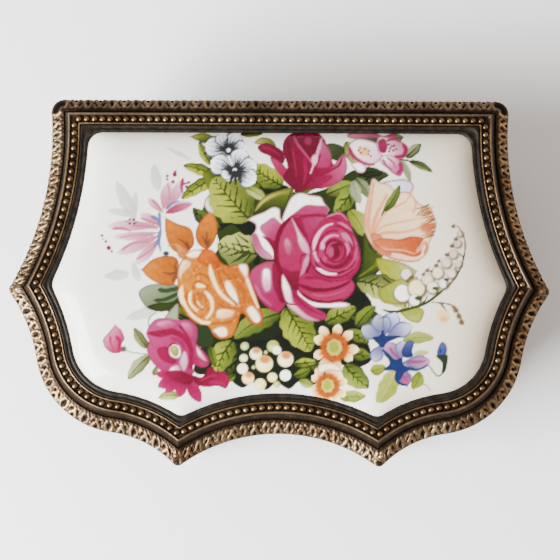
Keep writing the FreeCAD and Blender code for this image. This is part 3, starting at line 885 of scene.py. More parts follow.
BLADE_SOFT = 0.22        # width of the soft edge of petals and leaves
OUTLINE_WIDTH = 0.45
OUTLINE_SHADE = np.array([0.12, 0.26, 0.2])
PORCELAIN = (240, 239, 236)
PAINTED_WARM_SHADE = np.array([0.015, 0.035, 0.07])        # painted warm shade: the white is darker and warmer towards the right-hand side
WHITE = (246, 243, 240)
CREAM = (248, 234, 208)
BLUSH = (240, 205, 218)
PINK = (222, 112, 158)
ROSE = (200, 62, 122)
MAGENTA = (172, 22, 92)
WINE = (138, 6, 62)
AMBER = (200, 108, 24)
LIME = (190, 198, 88)
GREEN = (132, 148, 58)
MOSS = (60, 76, 28)
NIGHT = (20, 28, 13)
SAGE = (160, 172, 138)
PALE_LEAF = (206, 208, 150)
NAVY = (46, 66, 126)
VIOLET = (140, 138, 182)
MIST = (206, 206, 218)
SHADE = (200, 203, 201)


def faint_leaves(p):
    for base, tip, width in (((-29, 11), (-33, 19), 2.6), ((-29, 12), (-34.5, 13), 1.6),
                             ((-29.5, 11), (-29, 17), 1.4), ((-24.5, 17), (-25.5, 22.5), 2.2),
                             ((-18, 23.5), (-23, 26), 0.9), ((-30, 0), (-35, -0.5), 2.2),
                             ((-28, -1.5), (-29.5, 2.5), 1.6), ((-24, -7), (-30.5, -9), 2.2)):
        p.leaf(base, tip, width, SHADE, (212, 214, 212), veins=0, cover=0.55)


def dark_ground(p):
    """Deep green behind the flowers, in overlapping patches."""
    p.shape([(-15.5, 12.5), (-13.2, 17.5), (-8, 19.5), (-3, 19), (1, 18.2), (4, 16.5), (9, 17.5), (12, 19.5),
             (15, 21.5), (19, 21.6), (20.5, 20), (16, 18.5), (15.5, 13), (17.5, 8.5), (19.5, 4), (20, 1),
             (16.5, -2), (18.5, -6), (16.5, -10), (17.5, -13), (18.3, -17), (15, -18.5), (9, -17.5),
             (8, -21),
             (6, -22.4), (4, -21.4), (2, -22.9), (-0.5, -21.7), (-2.6, -23.1), (-5, -21.6), (-7.2, -22.7),
             (-9.4, -21.3), (-10, -19.5), (-13, -20), (-16.8, -19.5), (-15.5, -14),
             (-18, -10.5), (-20.8, -8), (-20.4, -3), (-13, 4), (-12.5, 8)], MOSS, NIGHT, -60)
    p.shape([(-5.5, 19), (-1, 18.6), (1.8, 18), (0, 16.5), (-3.5, 16.8)], NIGHT)
    p.shape([(-13.5, 13), (-12.5, 10.5), (-8, 10.8), (-4.8, 11.2), (-5.5, 5), (-5, 2), (-4, 3.5), (-9, 10),
             (-12.3, 9)], NIGHT)
    p.shape([(13.5, -4), (15.5, -3.2), (17.3, -4.5), (17, -6), (15.3, -7), (13.2, -6)], NIGHT)
    p.shape([(-9, -13), (-2, -13.2), (2, -11), (8.5, -15), (6, -17.5), (3.5, -15.5), (-8, -14)], NIGHT)
    p.shape([(-20.5, -5.8), (-18.5, -6.5), (-16, -9.5), (-13.5, -11), (-13, -14), (-16, -14.5), (-19, -9.6)],
            (50, 68, 36))


def back_leaves(p):
    """Leaves in shade that fill the gaps at the back of the bouquet."""
    for base, tip, width in (((-9, 16), (-1.5, 21.5), 3.6), ((-12, 9), (-17.5, 13.5), 3.0),
                             ((3, 17), (8.5, 19.5), 3.2),
                             ((16, 2), (22.5, 6.5), 3.4), ((14, -8), (21.5, -9.5), 3.0),
                             ((-8, -17), (-13.5, -21), 3.0),
                             ((6, -17), (9.5, -20.5), 2.6), ((-18, -9), (-23, -5.5), 2.4),
                             ((17, -3), (23, -3.5), 2.6)):
        p.leaf(base, tip, width, (112, 128, 54), NIGHT, 0.3, 1, 1.2)


def leaves_left(p):
    p.shape([(-18.2, 28.3), (-18.2, 28.3), (-16, 29), (-14, 28.6), (-12.8, 27.2), (-15, 26.9),
             (-16.8, 27.5)],
            LIME, MOSS, -70)
    p.leaf((-13.5, 22.3), (-16.3, 27.3), 1.9, LIME, MOSS, 0.4, -1, 0)
    p.leaf((-13, 20.3), (-19.5, 22.3), 2.4, LIME, MOSS, -0.2, -1, 1.3)
    p.leaf((-12.8, 19.8), (-19.8, 15.4), 2.7, LIME, MOSS, -0.3, -1, 1.2)
    p.shape([(-14.5, 16), (-13, 15.5), (-12.8, 12.6), (-14, 12.4), (-15.2, 14.2)], SAGE, PORCELAIN, 200)
    p.shape([(-15.5, 20.5), (-13.2, 21.8), (-11.6, 19.8), (-13, 18), (-14.2, 17.2)], MOSS, GREEN, 200, 0.6)
    p.leaf((-6, 11.2), (-13.4, 19.8), 8.8, (196, 202, 98), MOSS, 0.2, -1, 1.5)
    p.leaf((-4.4, 4.2), (-12.4, 6.2), 7.2, (206, 210, 136), MOSS, 0.3, 1, 1.5)
    for path in ([(-6.2, 6.5), (-8.5, 8.2)], [(-6, 5.5), (-9.6, 6.3)], [(-6, 4.8), (-10.3, 3.9)],
                 [(-6, 4.5), (-8.6, 2.7)], [(-5.7, 4.2), (-7.2, 2.3)]):
        p.stroke(path, 0.55, MOSS, 0.2)
    p.leaf((-6.8, 17.8), (-2.6, 15.2), 2.2, PALE_LEAF, GREEN, 0.2, 1, 0)
    p.shape([(-5.2, 12.2), (-4.3, 14.6), (-2.4, 16.4), (0.6, 17.5), (2.7, 17.8), (2.4, 15.8), (1, 13.2),
             (0, 13.5), (-1.5, 13.8)], MOSS, GREEN, 90)
    p.shape([(-5, 12.8), (-4, 14.9), (-2, 16.4), (1, 17.4), (2.6, 17.6), (2.3, 16), (0.2, 16.2),
             (-2.8, 14.8)],
            (196, 204, 112), GREEN, -40, 0.4)
    p.stroke([(2.4, 17.3), (1.6, 15.2), (0.8, 13)], 0.35, MOSS)
    p.leaf((0.5, 18.2), (-5.9, 22.6), 4.6, LIME, MOSS, 0.3, 1, 1.05)
    p.shape([(-5.2, 27), (-3.6, 28.2), (-1.5, 27.6), (-0.8, 26), (-3, 26.6)], (206, 208, 128), GREEN, 0)
    p.leaf((-8, 28.8), (-3.5, 29), 1.3, GREEN, MOSS, 0, 1, 0)
    p.shape([(-28, -3.6), (-26.4, -2.3), (-23.5, -1.9), (-20, -2.4), (-20.2, -5), (-21.4, -6.9), (-24, -7.5),
             (-26.2, -6.9), (-27.6, -5.2)], (166, 178, 148), (120, 136, 98), -60)
    p.shape([(-26.3, -6.7), (-24.5, -5.9), (-21.5, -5.6), (-20.2, -4.8), (-21, -6.6), (-23.5, -7.6)], MOSS)
    p.stroke([(-24.2, -3.1), (-22.6, -3.3), (-20.3, -2.9)], 0.95, (72, 88, 56), 0.9)
    p.stroke([(-25, -5.3), (-22.8, -5.1), (-20.2, -3.9)], 0.8, (66, 82, 48), 0.9)
    p.shape([(-22.8, -8.8), (-20.4, -5.9), (-20, -7.2), (-20.3, -9.6), (-22, -9.6)], (176, 186, 156))
    p.leaf((-25.9, -15), (-28.9, -10.8), 2.0, (168, 172, 118), (82, 84, 46), 0.2, -1, 0)
    p.leaf((-25.6, -16.4), (-29.9, -21.1), 2.5, (196, 200, 160), (96, 100, 52), -0.3, 1, 0)
    p.leaf((-24.8, -20.4), (-24.1, -18.4), 1.1, (170, 180, 130), (110, 120, 70), 0, 1, 0)
    p.leaf((-19.8, -24.4), (-23.8, -24.8), 1.9, (200, 204, 140), GREEN, -0.3, -1, 0)
    p.leaf((-9.2, -13.4), (-12.2, -20), 4.8, LIME, MOSS, -0.6, 1, 1.4)
    p.leaf((-13.8, -14.4), (-12.6, -18.6), 1.7, GREEN, MOSS, 0, -1, 0)
    p.leaf((-8.6, -20), (-10.6, -21.6), 1.4, GREEN, MOSS, 0, -1, 0)


def leaves_middle(p):
    p.leaf((0.2, -7.8), (-8.9, -12.9), 4.4, (158, 172, 80), MOSS, -0.8, 1, 0)
    p.leaf((1.4, -6.6), (6.3, -15.4), 6.6, LIME, MOSS, 0.2, 1, 1.25)
    p.leaf((9.2, -9.6), (15.4, -6.6), 3.7, (172, 182, 84), MOSS, 0.1, -1, 1.6)
    p.leaf((15.4, -10.4), (19.2, -6.2), 2.7, (150, 164, 74), MOSS, 0.3, -1, 0)
    p.leaf((13.4, -11.4), (17.9, -13.6), 2.6, (150, 164, 70), MOSS, 0.2, -1, 1.3)
    p.leaf((14, -15.6), (18.3, -16.4), 2.6, (142, 156, 66), MOSS, 0, -1, 1.3)
    p.leaf((13, -18), (17.8, -22.6), 4.2, (176, 190, 92), MOSS, -0.3, 1, 1.3)
    p.leaf((12, -24.4), (17.2, -24.2), 2.4, (186, 196, 112), GREEN, 0, -1, 1.2)
    p.leaf((3, -18), (7.6, -17.6), 2.0, LIME, MOSS, 0.1, -1, 1.2)
    p.leaf((3, -20.4), (6.4, -18.8), 1.9, GREEN, MOSS, -0.2, -1, 0)
    p.leaf((4, -21.2), (7, -22.4), 1.7, (190, 196, 120), GREEN, 0, 1, 0)
    p.leaf((9.4, 16.4), (14.9, 18.9), 3.0, (170, 184, 92), MOSS, 0, -1, 0)
    p.leaf((14.9, 18.4), (11, 12.6), 3.8, (168, 182, 84), MOSS, 0.5, 1, 1.5)
    p.leaf((14, 13.2), (16.8, 8), 3.6, (190, 196, 100), GREEN, 0.6, -1, 0)
    p.leaf((13.4, 27.4), (15.2, 22.6), 2.4, PALE_LEAF, GREEN, 0, -1, 0)
    p.shape([(9.3, 26.6), (11, 27), (13, 26), (12.6, 23.5), (10.8, 23.6), (9.6, 24.5)], (92, 104, 66),
            MOSS, -60)


def leaves_right(p):
    p.leaf((16, 18.4), (22, 20.6), 3.0, (96, 114, 58), NIGHT, 0.8, -1, 0)
    p.leaf((16, 20.6), (20.8, 20.8), 2.2, MOSS, NIGHT, 0.4, -1, 0)
    p.leaf((15.2, 19.8), (18.4, 15.7), 2.3, (168, 176, 138), (88, 100, 60), 0.2, -1, 0)
    p.leaf((14.8, 19.3), (16.2, 14.6), 2.3, (190, 196, 160), SAGE, -0.2, -1, 0)
    p.shape([(17, 8.5), (18.3, 5.6), (20.7, 2.9), (19.8, 1), (17, -0.4), (15.2, -0.9), (16.6, 2)], MOSS,
            (92, 110, 44), 20, 0.4)
    p.stroke([(20.2, 3), (18.4, 1.4), (16, -0.3)], 0.9, (122, 136, 52), 0.3)
    p.shape([(19.4, 3.4), (22, 3.2), (25, 2.4), (27.6, 0.9), (27.6, 0.9), (26.6, -0.6), (25.6, -2.2),
             (23, -1.8), (21, -0.4), (20, 1)], (184, 190, 74), (204, 206, 140), 10)
    p.leaf((15.6, -1.2), (25.4, -6.4), 5.2, (208, 210, 132), MOSS, 1.2, 1, 1.35)
    p.stroke([(20.5, -0.2), (22.4, -1.6), (24.6, -2.1)], 0.5, MOSS)
    p.shape([(24, -7), (26.5, -6.4), (28.6, -6.8), (28.7, -8.2), (27.6, -9.6), (25.4, -8.8)], (182, 192, 84),
            (196, 202, 120), -90)
    p.leaf((24.6, -13.2), (30.8, -12.6), 2.4, (196, 200, 122), (168, 178, 84), 0.4, -1, 0)
    p.leaf((26.8, -15.8), (29.8, -15.4), 1.2, (210, 212, 160), PALE_LEAF, 0, -1, 0)
    p.leaf((18.2, -19.4), (21.2, -18.4), 2.2, (186, 194, 92), GREEN, 0, -1, 0)
    p.leaf((22.9, -19.2), (19.4, -25.6), 3.8, (184, 192, 92), (206, 208, 140), 0.4, -1, 0)
    p.leaf((28, -19.4), (26.4, -22.8), 2.4, (176, 188, 84), GREEN, 0.3, -1, 0)
    p.leaf((25.4, 24.2), (28.5, 27), 2.1, (196, 200, 156), MOSS, 0, -1, 0)
    p.leaf((26.2, 23.4), (30.8, 21.2), 1.5, (150, 160, 108), MOSS, 0.2, 1, 0)
    p.leaf((24.2, 23.8), (26.4, 18.9), 1.4, (182, 188, 142), SAGE, 0.3, -1, 0)
    p.stroke([(23.8, 23.8), (25.6, 23.6), (26.6, 23.2)], 0.35, MOSS, 0.8)
    p.leaf((22, 27.8), (25, 28.4), 1.8, (150, 154, 116), (86, 92, 60), 0, -1, 0)
    p.shape([(15.6, 27.9), (17, 28.7), (19.6, 28.3), (19.4, 27), (17.5, 27.6)], (126, 122, 106),
            (96, 100, 70), 0)


def white_flowers(p):
    ink = (52, 56, 62)
    for cx, cy, petals in ((-10.4, 25.4, ((165, 4.9), (112, 4.1), (62, 4.0), (12, 3.8))),
                           (-9.1, 21.3, ((158, 5.2), (70, 4.6), (15, 4.6), (-30, 4.8), (232, 2.6),
                                         (205, 2.8)))):
        for angle, reach in petals:
            tip = np.array([cx, cy]) + reach * heading(math.radians(angle))
            p.petal((cx, cy), tip, reach * 0.92, ink, (120, 124, 132), 0.68)
            p.petal((cx, cy), tip, reach * 0.8, (196, 198, 204), (244, 245, 247), 0.66, 0, None, 4, ink)
        for angle, reach in petals:
            for spread in (-19, -7, 5, 17):
                far = reach * (0.66 + 0.12 * math.sin(spread))
                end = np.array([cx, cy]) + far * heading(math.radians(angle + spread))
                p.stroke([(cx, cy), end], 0.52, ink, 0.25)
        p.spot(cx, cy, 1.0, ink, soft=0.8)
        p.spot(cx, cy + 0.1, 0.42, WHITE)
    p.spot(-15, 24.8, 0.35, ink, 0.6)
    p.spot(-13.9, 23.8, 0.3, ink, 0.6)
    for angle in (250, 275, 300):
        p.stroke([(-9.1, 21.3), np.array([-9.1, 21.3]) + 2.9 * heading(math.radians(angle))], 0.8, ink, 0.4)


def rosebud(p):
    p.shape([(-4.5, 26.2), (-3, 27), (-1.4, 26.6), (0.6, 25.2), (0.8, 23), (-0.6, 23.2), (-2.2, 24.4),
             (-3.8, 25.1)], MAGENTA, WINE, 0)
    p.stroke([(-3.6, 26.3), (-1.6, 25.6), (0, 24.4)], 0.6, ROSE)
    p.shape([(-2, 24), (-0.4, 23.4), (1.2, 22), (1.8, 20), (0.8, 19.8), (-0.8, 21.5)], (228, 130, 168),
            ROSE, -60)
    p.shape([(0.6, 25.5), (1, 27.8), (2.6, 29.1), (5, 29.5), (7.5, 29.3), (9, 27.8), (9.7, 26), (10.4, 23.5),
             (12, 19.8), (9, 17.8), (6, 17.6), (4, 16.9), (2.4, 17.8), (0.6, 19.8), (1.6, 22)],
             (190, 44, 106),
            WINE, 215)
    p.shape([(8, 28), (9.4, 26.6), (10.4, 24.6), (10.2, 22.4), (8.4, 21.8), (7, 22.6), (7.4, 25.5)],
            (238, 178, 202), PINK, -80, 0.5)
    p.shape([(3.2, 28.7), (5, 29.2), (7.2, 29), (8, 27.4), (7.2, 25.6), (6.2, 24), (4.6, 26), (3.2, 27)],
            WINE,
            (150, 10, 70), 90)
    p.stroke([(3.4, 28.2), (5.6, 28.8), (7.4, 28.4)], 0.6, ROSE, 0.6)
    p.spot(5.7, 27.5, 0.75, (214, 96, 146), 1.1, 0.5)
    p.stroke([(2.8, 28.4), (3.6, 26.8), (5, 25), (6.2, 23.4)], 0.75, (226, 130, 170), 0.5)
    p.stroke([(8.5, 28.2), (7.6, 25), (6.9, 22.8), (6.2, 20.8)], 0.75, (246, 214, 226), 0.5)
    p.spot(7, 23.6, 0.72, (250, 226, 234), 1.6, 0.5)
    p.stroke([(1.6, 27.2), (2, 24), (2.2, 20.5), (3, 18.2)], 0.8, WINE, 0.6)
    p.stroke([(2.6, 26), (3, 23), (3.4, 20)], 0.5, ROSE, 0.3)
    p.stroke([(5, 24), (5.2, 21), (4.8, 18.4)], 0.9, (196, 54, 114), 0.3, 0.4)
    p.stroke([(8.2, 24.8), (7.6, 22.8), (6.4, 20)], 0.35, MAGENTA)
    p.shape([(12.8, 24.9), (12.8, 24.9), (13.5, 23.2), (13.4, 21), (12, 19), (9.4, 17.9), (6.4, 17.8),
             (5.6, 18.6), (8, 19.8), (10, 21.4), (11.4, 23.2)], ROSE, (236, 172, 196), 40, 0.3)
    p.shape([(5.4, 17.8), (8, 18.2), (10.6, 20), (9.4, 20.4), (7.4, 19.2), (5.8, 19.4)], MAGENTA, ROSE,
            30, 0.4)
    p.stroke([(12.7, 24.4), (12, 22.6), (10.6, 21.6), (9, 20.6), (7, 19.6)], 0.45, MAGENTA, 0.5)
    p.stroke([(3.2, 17.4), (5.2, 18.4), (6.4, 19.8)], 0.9, WINE, 0.2)


def great_rose(p):
    p.shape([(0.6, 10.6), (1.4, 14), (2.6, 16.1), (4.2, 16.8), (6.2, 16.3), (8.2, 16), (9, 14.7), (10, 13.4),
             (9.6, 12.4), (10, 10), (4, 9)], WHITE)
    p.shape([(2, 11.4), (3.6, 13), (5.4, 14.2), (7.6, 14.1), (9.2, 14), (9.8, 13.3), (9.4, 12.4), (9, 10),
             (4, 10)], (224, 128, 168), (206, 82, 136), -90, 0.55)
    p.shape([(-6.6, 11.2), (-6.6, 11.2), (-5.2, 12), (-3.2, 12.8), (-1.4, 13.8), (0, 13.4), (0.2, 11.6),
             (1.2, 9.8), (0, 5), (-1, 3.2), (-3.2, 3.4), (-4.6, 4.8), (-5.5, 6.8), (-5.6, 8), (-4.9, 9),
             (-4.9, 10.3)], WHITE)
    p.shape([(-3.9, 9.6), (-2.4, 10.9), (-1.2, 11.6), (0, 10.6), (1, 9.6), (0.6, 6), (-0.8, 6), (-2.8, 7.9)],
            (232, 166, 194), ROSE, -50, 0.6)
    p.shape([(-5.4, 8), (-4.6, 8.2), (-3.4, 5.6), (-1.4, 3.6), (-2.6, 3.3), (-4.2, 4.6), (-5.3, 6.4)],
            (228, 146, 182), (240, 200, 216), -30, 0.5)
    p.shape([(-3.4, 7.8), (-1.6, 7.2), (-0.4, 6), (0, 3), (-1, 3.2), (-1.3, 5), (-2.4, 6.8)], MAGENTA,
            WINE, -60,
            0.4)
    p.shape([(-0.6, 2.5), (-2.2, 2.7), (-3.9, 2.1), (-5.3, 1.2), (-6, -0.4), (-5.6, -2), (-4.6, -3.9),
             (-3.4, -5.6), (-1.8, -7), (-0.3, -7.6), (0.8, -6.8), (1.3, -5.4), (1.4, -2), (1, 1)],
            (224, 124, 166), (202, 70, 130), -70)
    p.shape([(-3.4, 1.1), (-1.9, 1.2), (-1.5, -0.8), (-1.6, -3), (-2.8, -3.6), (-3.6, -1.8)], WHITE,
            BLUSH, -90,
            0.9)
    p.stroke([(-4.8, -2), (-3.6, -4.4), (-1.6, -6.2)], 0.8, (232, 158, 190), 0.3, 0.6)
    p.shape([(0, 2.6), (-1.2, 2.3), (-1.4, 0.5), (-1.1, -2.4), (0.2, -5.4), (1.2, -5), (1.4, 0)],
            MAGENTA, WINE,
            0, 0.5)
    p.shape([(2.2, 12), (5, 12.3), (8, 12.5), (10.5, 12.3), (12, 13), (13.4, 12), (14.5, 10), (14.6, 8),
             (15.3, 7), (16.1, 5.2), (16.3, 2.8), (15.8, 1), (14.5, -0.8), (15.1, -2.2), (14.4, -4),
             (12.4, -5.4),
             (9.4, -5.9), (6.4, -5.5), (3.6, -4.4), (2, -2), (-0.6, 2), (-0.6, 7), (0.6, 10)],
             (206, 74, 130),
            (190, 42, 106), -60)
    p.shape([(0.6, 9.6), (1.6, 11), (2.4, 11.6), (4, 9), (5.6, 6.6), (6, 4.6), (5.6, 2), (4.6, 0),
             (3.8, -2.8),
             (2.2, -1.6), (0.4, 1), (-0.4, 4), (-0.3, 7.4)], (216, 96, 144), (206, 72, 128), -90, 0.3)
    p.shape([(1, 7.4), (1.9, 7.4), (2.6, 5.8), (2.3, 4), (1.3, 4.2), (0.8, 5.8)], (242, 190, 208),
            (226, 132, 168),
            -90, 1.0)
    p.shape([(0.6, 1.4), (2.4, 0.6), (4, 0.8), (4.4, -0.4), (3.7, -2.8), (2.2, -1.8)], WINE, MAGENTA, 90,
            0.6)
    p.stroke([(2.6, 11.8), (1, 10.4), (-0.2, 8), (-0.7, 5), (-0.4, 2.4), (0.6, 0.2), (2.4, -2),
              (3.6, -3.2)], 0.95,
             WINE, 0.8, 0.35)
    p.shape([(6, 9.8), (6.6, 6), (6.5, 3), (5.4, -0.4), (4.2, -2.4), (5.2, 1), (6, 4.4), (5.6, 7), (4, 9.4),
             (2.8, 11.6), (4.4, 11.2)], MAGENTA, WINE, -90, 0.35)
    p.shape([(2.2, 11.8), (3, 10.8), (4.2, 8.6), (5.8, 6.2), (6.1, 4.2), (4.7, 4.6), (3.7, 6.4), (3.3, 8.8)],
            WHITE, BLUSH, -60, 0.3)
    p.shape([(5.9, 4.4), (6, 2.6), (5.2, 0.6), (4, -2.6), (4, -0.4), (4.4, 1.6), (4.9, 3.2)], BLUSH,
            (232, 158, 190), -90, 0.3)
    p.stroke([(5.4, 4.4), (4.4, 3.8), (4.2, 2.6), (4.5, 1.2)], 0.4, MAGENTA)
    p.shape([(4.4, 11.2), (6.6, 11.9), (9, 11.7), (8, 10.4), (6.8, 8.4), (6.2, 6.4), (5.2, 8.6)],
            (206, 78, 134), (222, 128, 170), 40, 0.4)
    p.stroke([(3.6, 11.6), (6, 12.1), (9, 12), (12, 11.2)], 0.5, MAGENTA, 0.5)
    p.stroke([(9.4, 11.8), (12, 12.6), (13.6, 11.2)], 0.5, (236, 170, 196), 0.5)
    swirl(p, 11.2, 4.6)
    p.shape([(4.2, -0.4), (6, 0.4), (8, -0.4), (11, -1.2), (14.2, -1), (15, -2.2), (14.2, -3.9), (12, -5.2),
             (9, -5.5), (6, -4.8), (4, -3.2)], (208, 78, 132), (214, 96, 146), 0, 0.3)
    p.stroke([(3.8, -1.9), (6.4, -2.9), (9.4, -3), (12, -2.4), (14, -1.4)], 1.0, WINE, 0.4, 0.35)
    p.stroke([(5, -0.6), (7.6, -0.6), (10.4, -1.4)], 0.8, MAGENTA, 0.3, 0.4)
    p.stroke([(6.4, -3.9), (9.6, -4.2), (13.2, -3)], 0.5, (226, 130, 168), 0.5)
    p.shape([(3.6, -3), (6, -5), (9.4, -5.6), (12.4, -5.4), (14.2, -5.9), (13, -6.6), (9.6, -6.7),
             (6.4, -6.4),
             (4.2, -5)], WHITE)
    p.stroke([(4, -3.4), (6.4, -5), (9.6, -5.5), (12.6, -4.9)], 0.7, WINE, 0.5)
    p.shape([(2.6, -3.2), (4.2, -4.4), (6.6, -6.2), (9, -7.6), (9.6, -8.5), (8.2, -9.2), (5.8, -8.8),
             (3.6, -7.6),
             (2, -6.2), (1.6, -4.4)], (210, 88, 142), ROSE, 200)
    p.shape([(0.6, 0.2), (1.6, -1.2), (2.4, -3), (2.8, -5.2), (3.4, -6), (5.6, -8), (8.2, -9.3), (5.4, -9.1),
             (3.4, -7.8), (1.6, -6.2), (0.8, -4), (0.4, -2)], WHITE, BLUSH, -70, 0.35)
    p.stroke([(2.6, -3), (3.8, -5), (6, -6.8), (8.6, -8.2)], 0.9, MAGENTA, 0.2, 0.4)
    p.stroke([(0.2, 0.6), (0, -2), (0.7, -4.6), (1.8, -5.8), (3.4, -6)], 0.5, WINE, 0.4)


def swirl(p, cx, cy):
    """Rolled heart of the rose: arcs of light and dark round a centre, turned a little on each step."""
    def arc(radius, first, turn, width, color, tall=1.0, end=0.4, soft=0.28):
        path = []
        for t in np.linspace(0, 1, 7):
            angle = math.radians(first + turn * t)
            reach = radius * (1 - 0.08 * t)
            path.append((cx + reach * math.cos(angle), cy + reach * tall * math.sin(angle)))
        p.stroke(path, width, color, end, soft)

    p.spot(cx - 0.1, cy - 0.2, 4.9, (218, 102, 150), 1.06, 0.8)
    arc(4.4, 15, -95, 1.1, (232, 142, 180), 1.0, 0.5)
    arc(3.6, 70, -70, 1.5, (240, 186, 208), 1.15, 0.5, 0.6)
    arc(4.9, 84, -66, 0.7, (240, 184, 208), 1.25)
    arc(4.2, 92, -84, 0.5, MAGENTA, 1.3)
    arc(5.0, 60, -70, 0.4, MAGENTA, 1.1)
    arc(4.4, 176, -78, 1.15, (250, 226, 236), 1.45, 0.35)
    arc(3.7, 196, -112, 0.75, (180, 26, 94), 1.3, 0.6)
    arc(3.0, 170, -92, 0.95, (246, 206, 222), 1.25, 0.4)
    arc(3.5, 40, -140, 0.75, (182, 28, 96), 1.0, 0.6)
    arc(4.4, -20, -80, 0.55, (182, 28, 96), 1.0, 0.4)
    arc(2.7, 44, -56, 0.9, (240, 182, 206), 1.0)
    arc(2.9, 0, -130, 0.85, (150, 12, 74), 1.0, 0.5)
    p.spot(cx - 0.4, cy + 0.6, 1.8, WINE, 1.2, 0.8)
    arc(2.3, 130, -120, 0.6, (150, 12, 74), 1.1, 0.6)
    arc(1.7, 200, -120, 0.55, (222, 120, 162), 1.3)
    arc(2.0, 20, -180, 0.75, MAGENTA, 1.1, 0.6)
    arc(1.2, 60, -130, 0.5, (206, 70, 130), 1.3, 0.6)
    p.spot(cx - 0.9, cy + 0.1, 0.62, (230, 138, 176), 1.9, 0.5)
    p.spot(cx - 2.5, cy + 1.2, 0.45, (246, 214, 226), 1.6, 0.4)
    p.spot(cx - 2.1, cy - 1.5, 0.5, (228, 142, 178), 1.4, 0.5)
    arc(2.5, 215, 75, 0.6, (218, 100, 150))
    arc(3.3, 200, 100, 0.6, WINE, 1.0, 0.5)
    arc(4.2, 176, 32, 0.85, (246, 208, 222), 1.0, 0.5)
    arc(4.5, 205, 90, 0.6, WINE, 1.0, 0.6)
    arc(5.0, 222, 50, 1.05, (252, 236, 242), 0.95, 0.4)
    arc(5.4, 205, 110, 0.5, WINE, 1.0, 0.4)


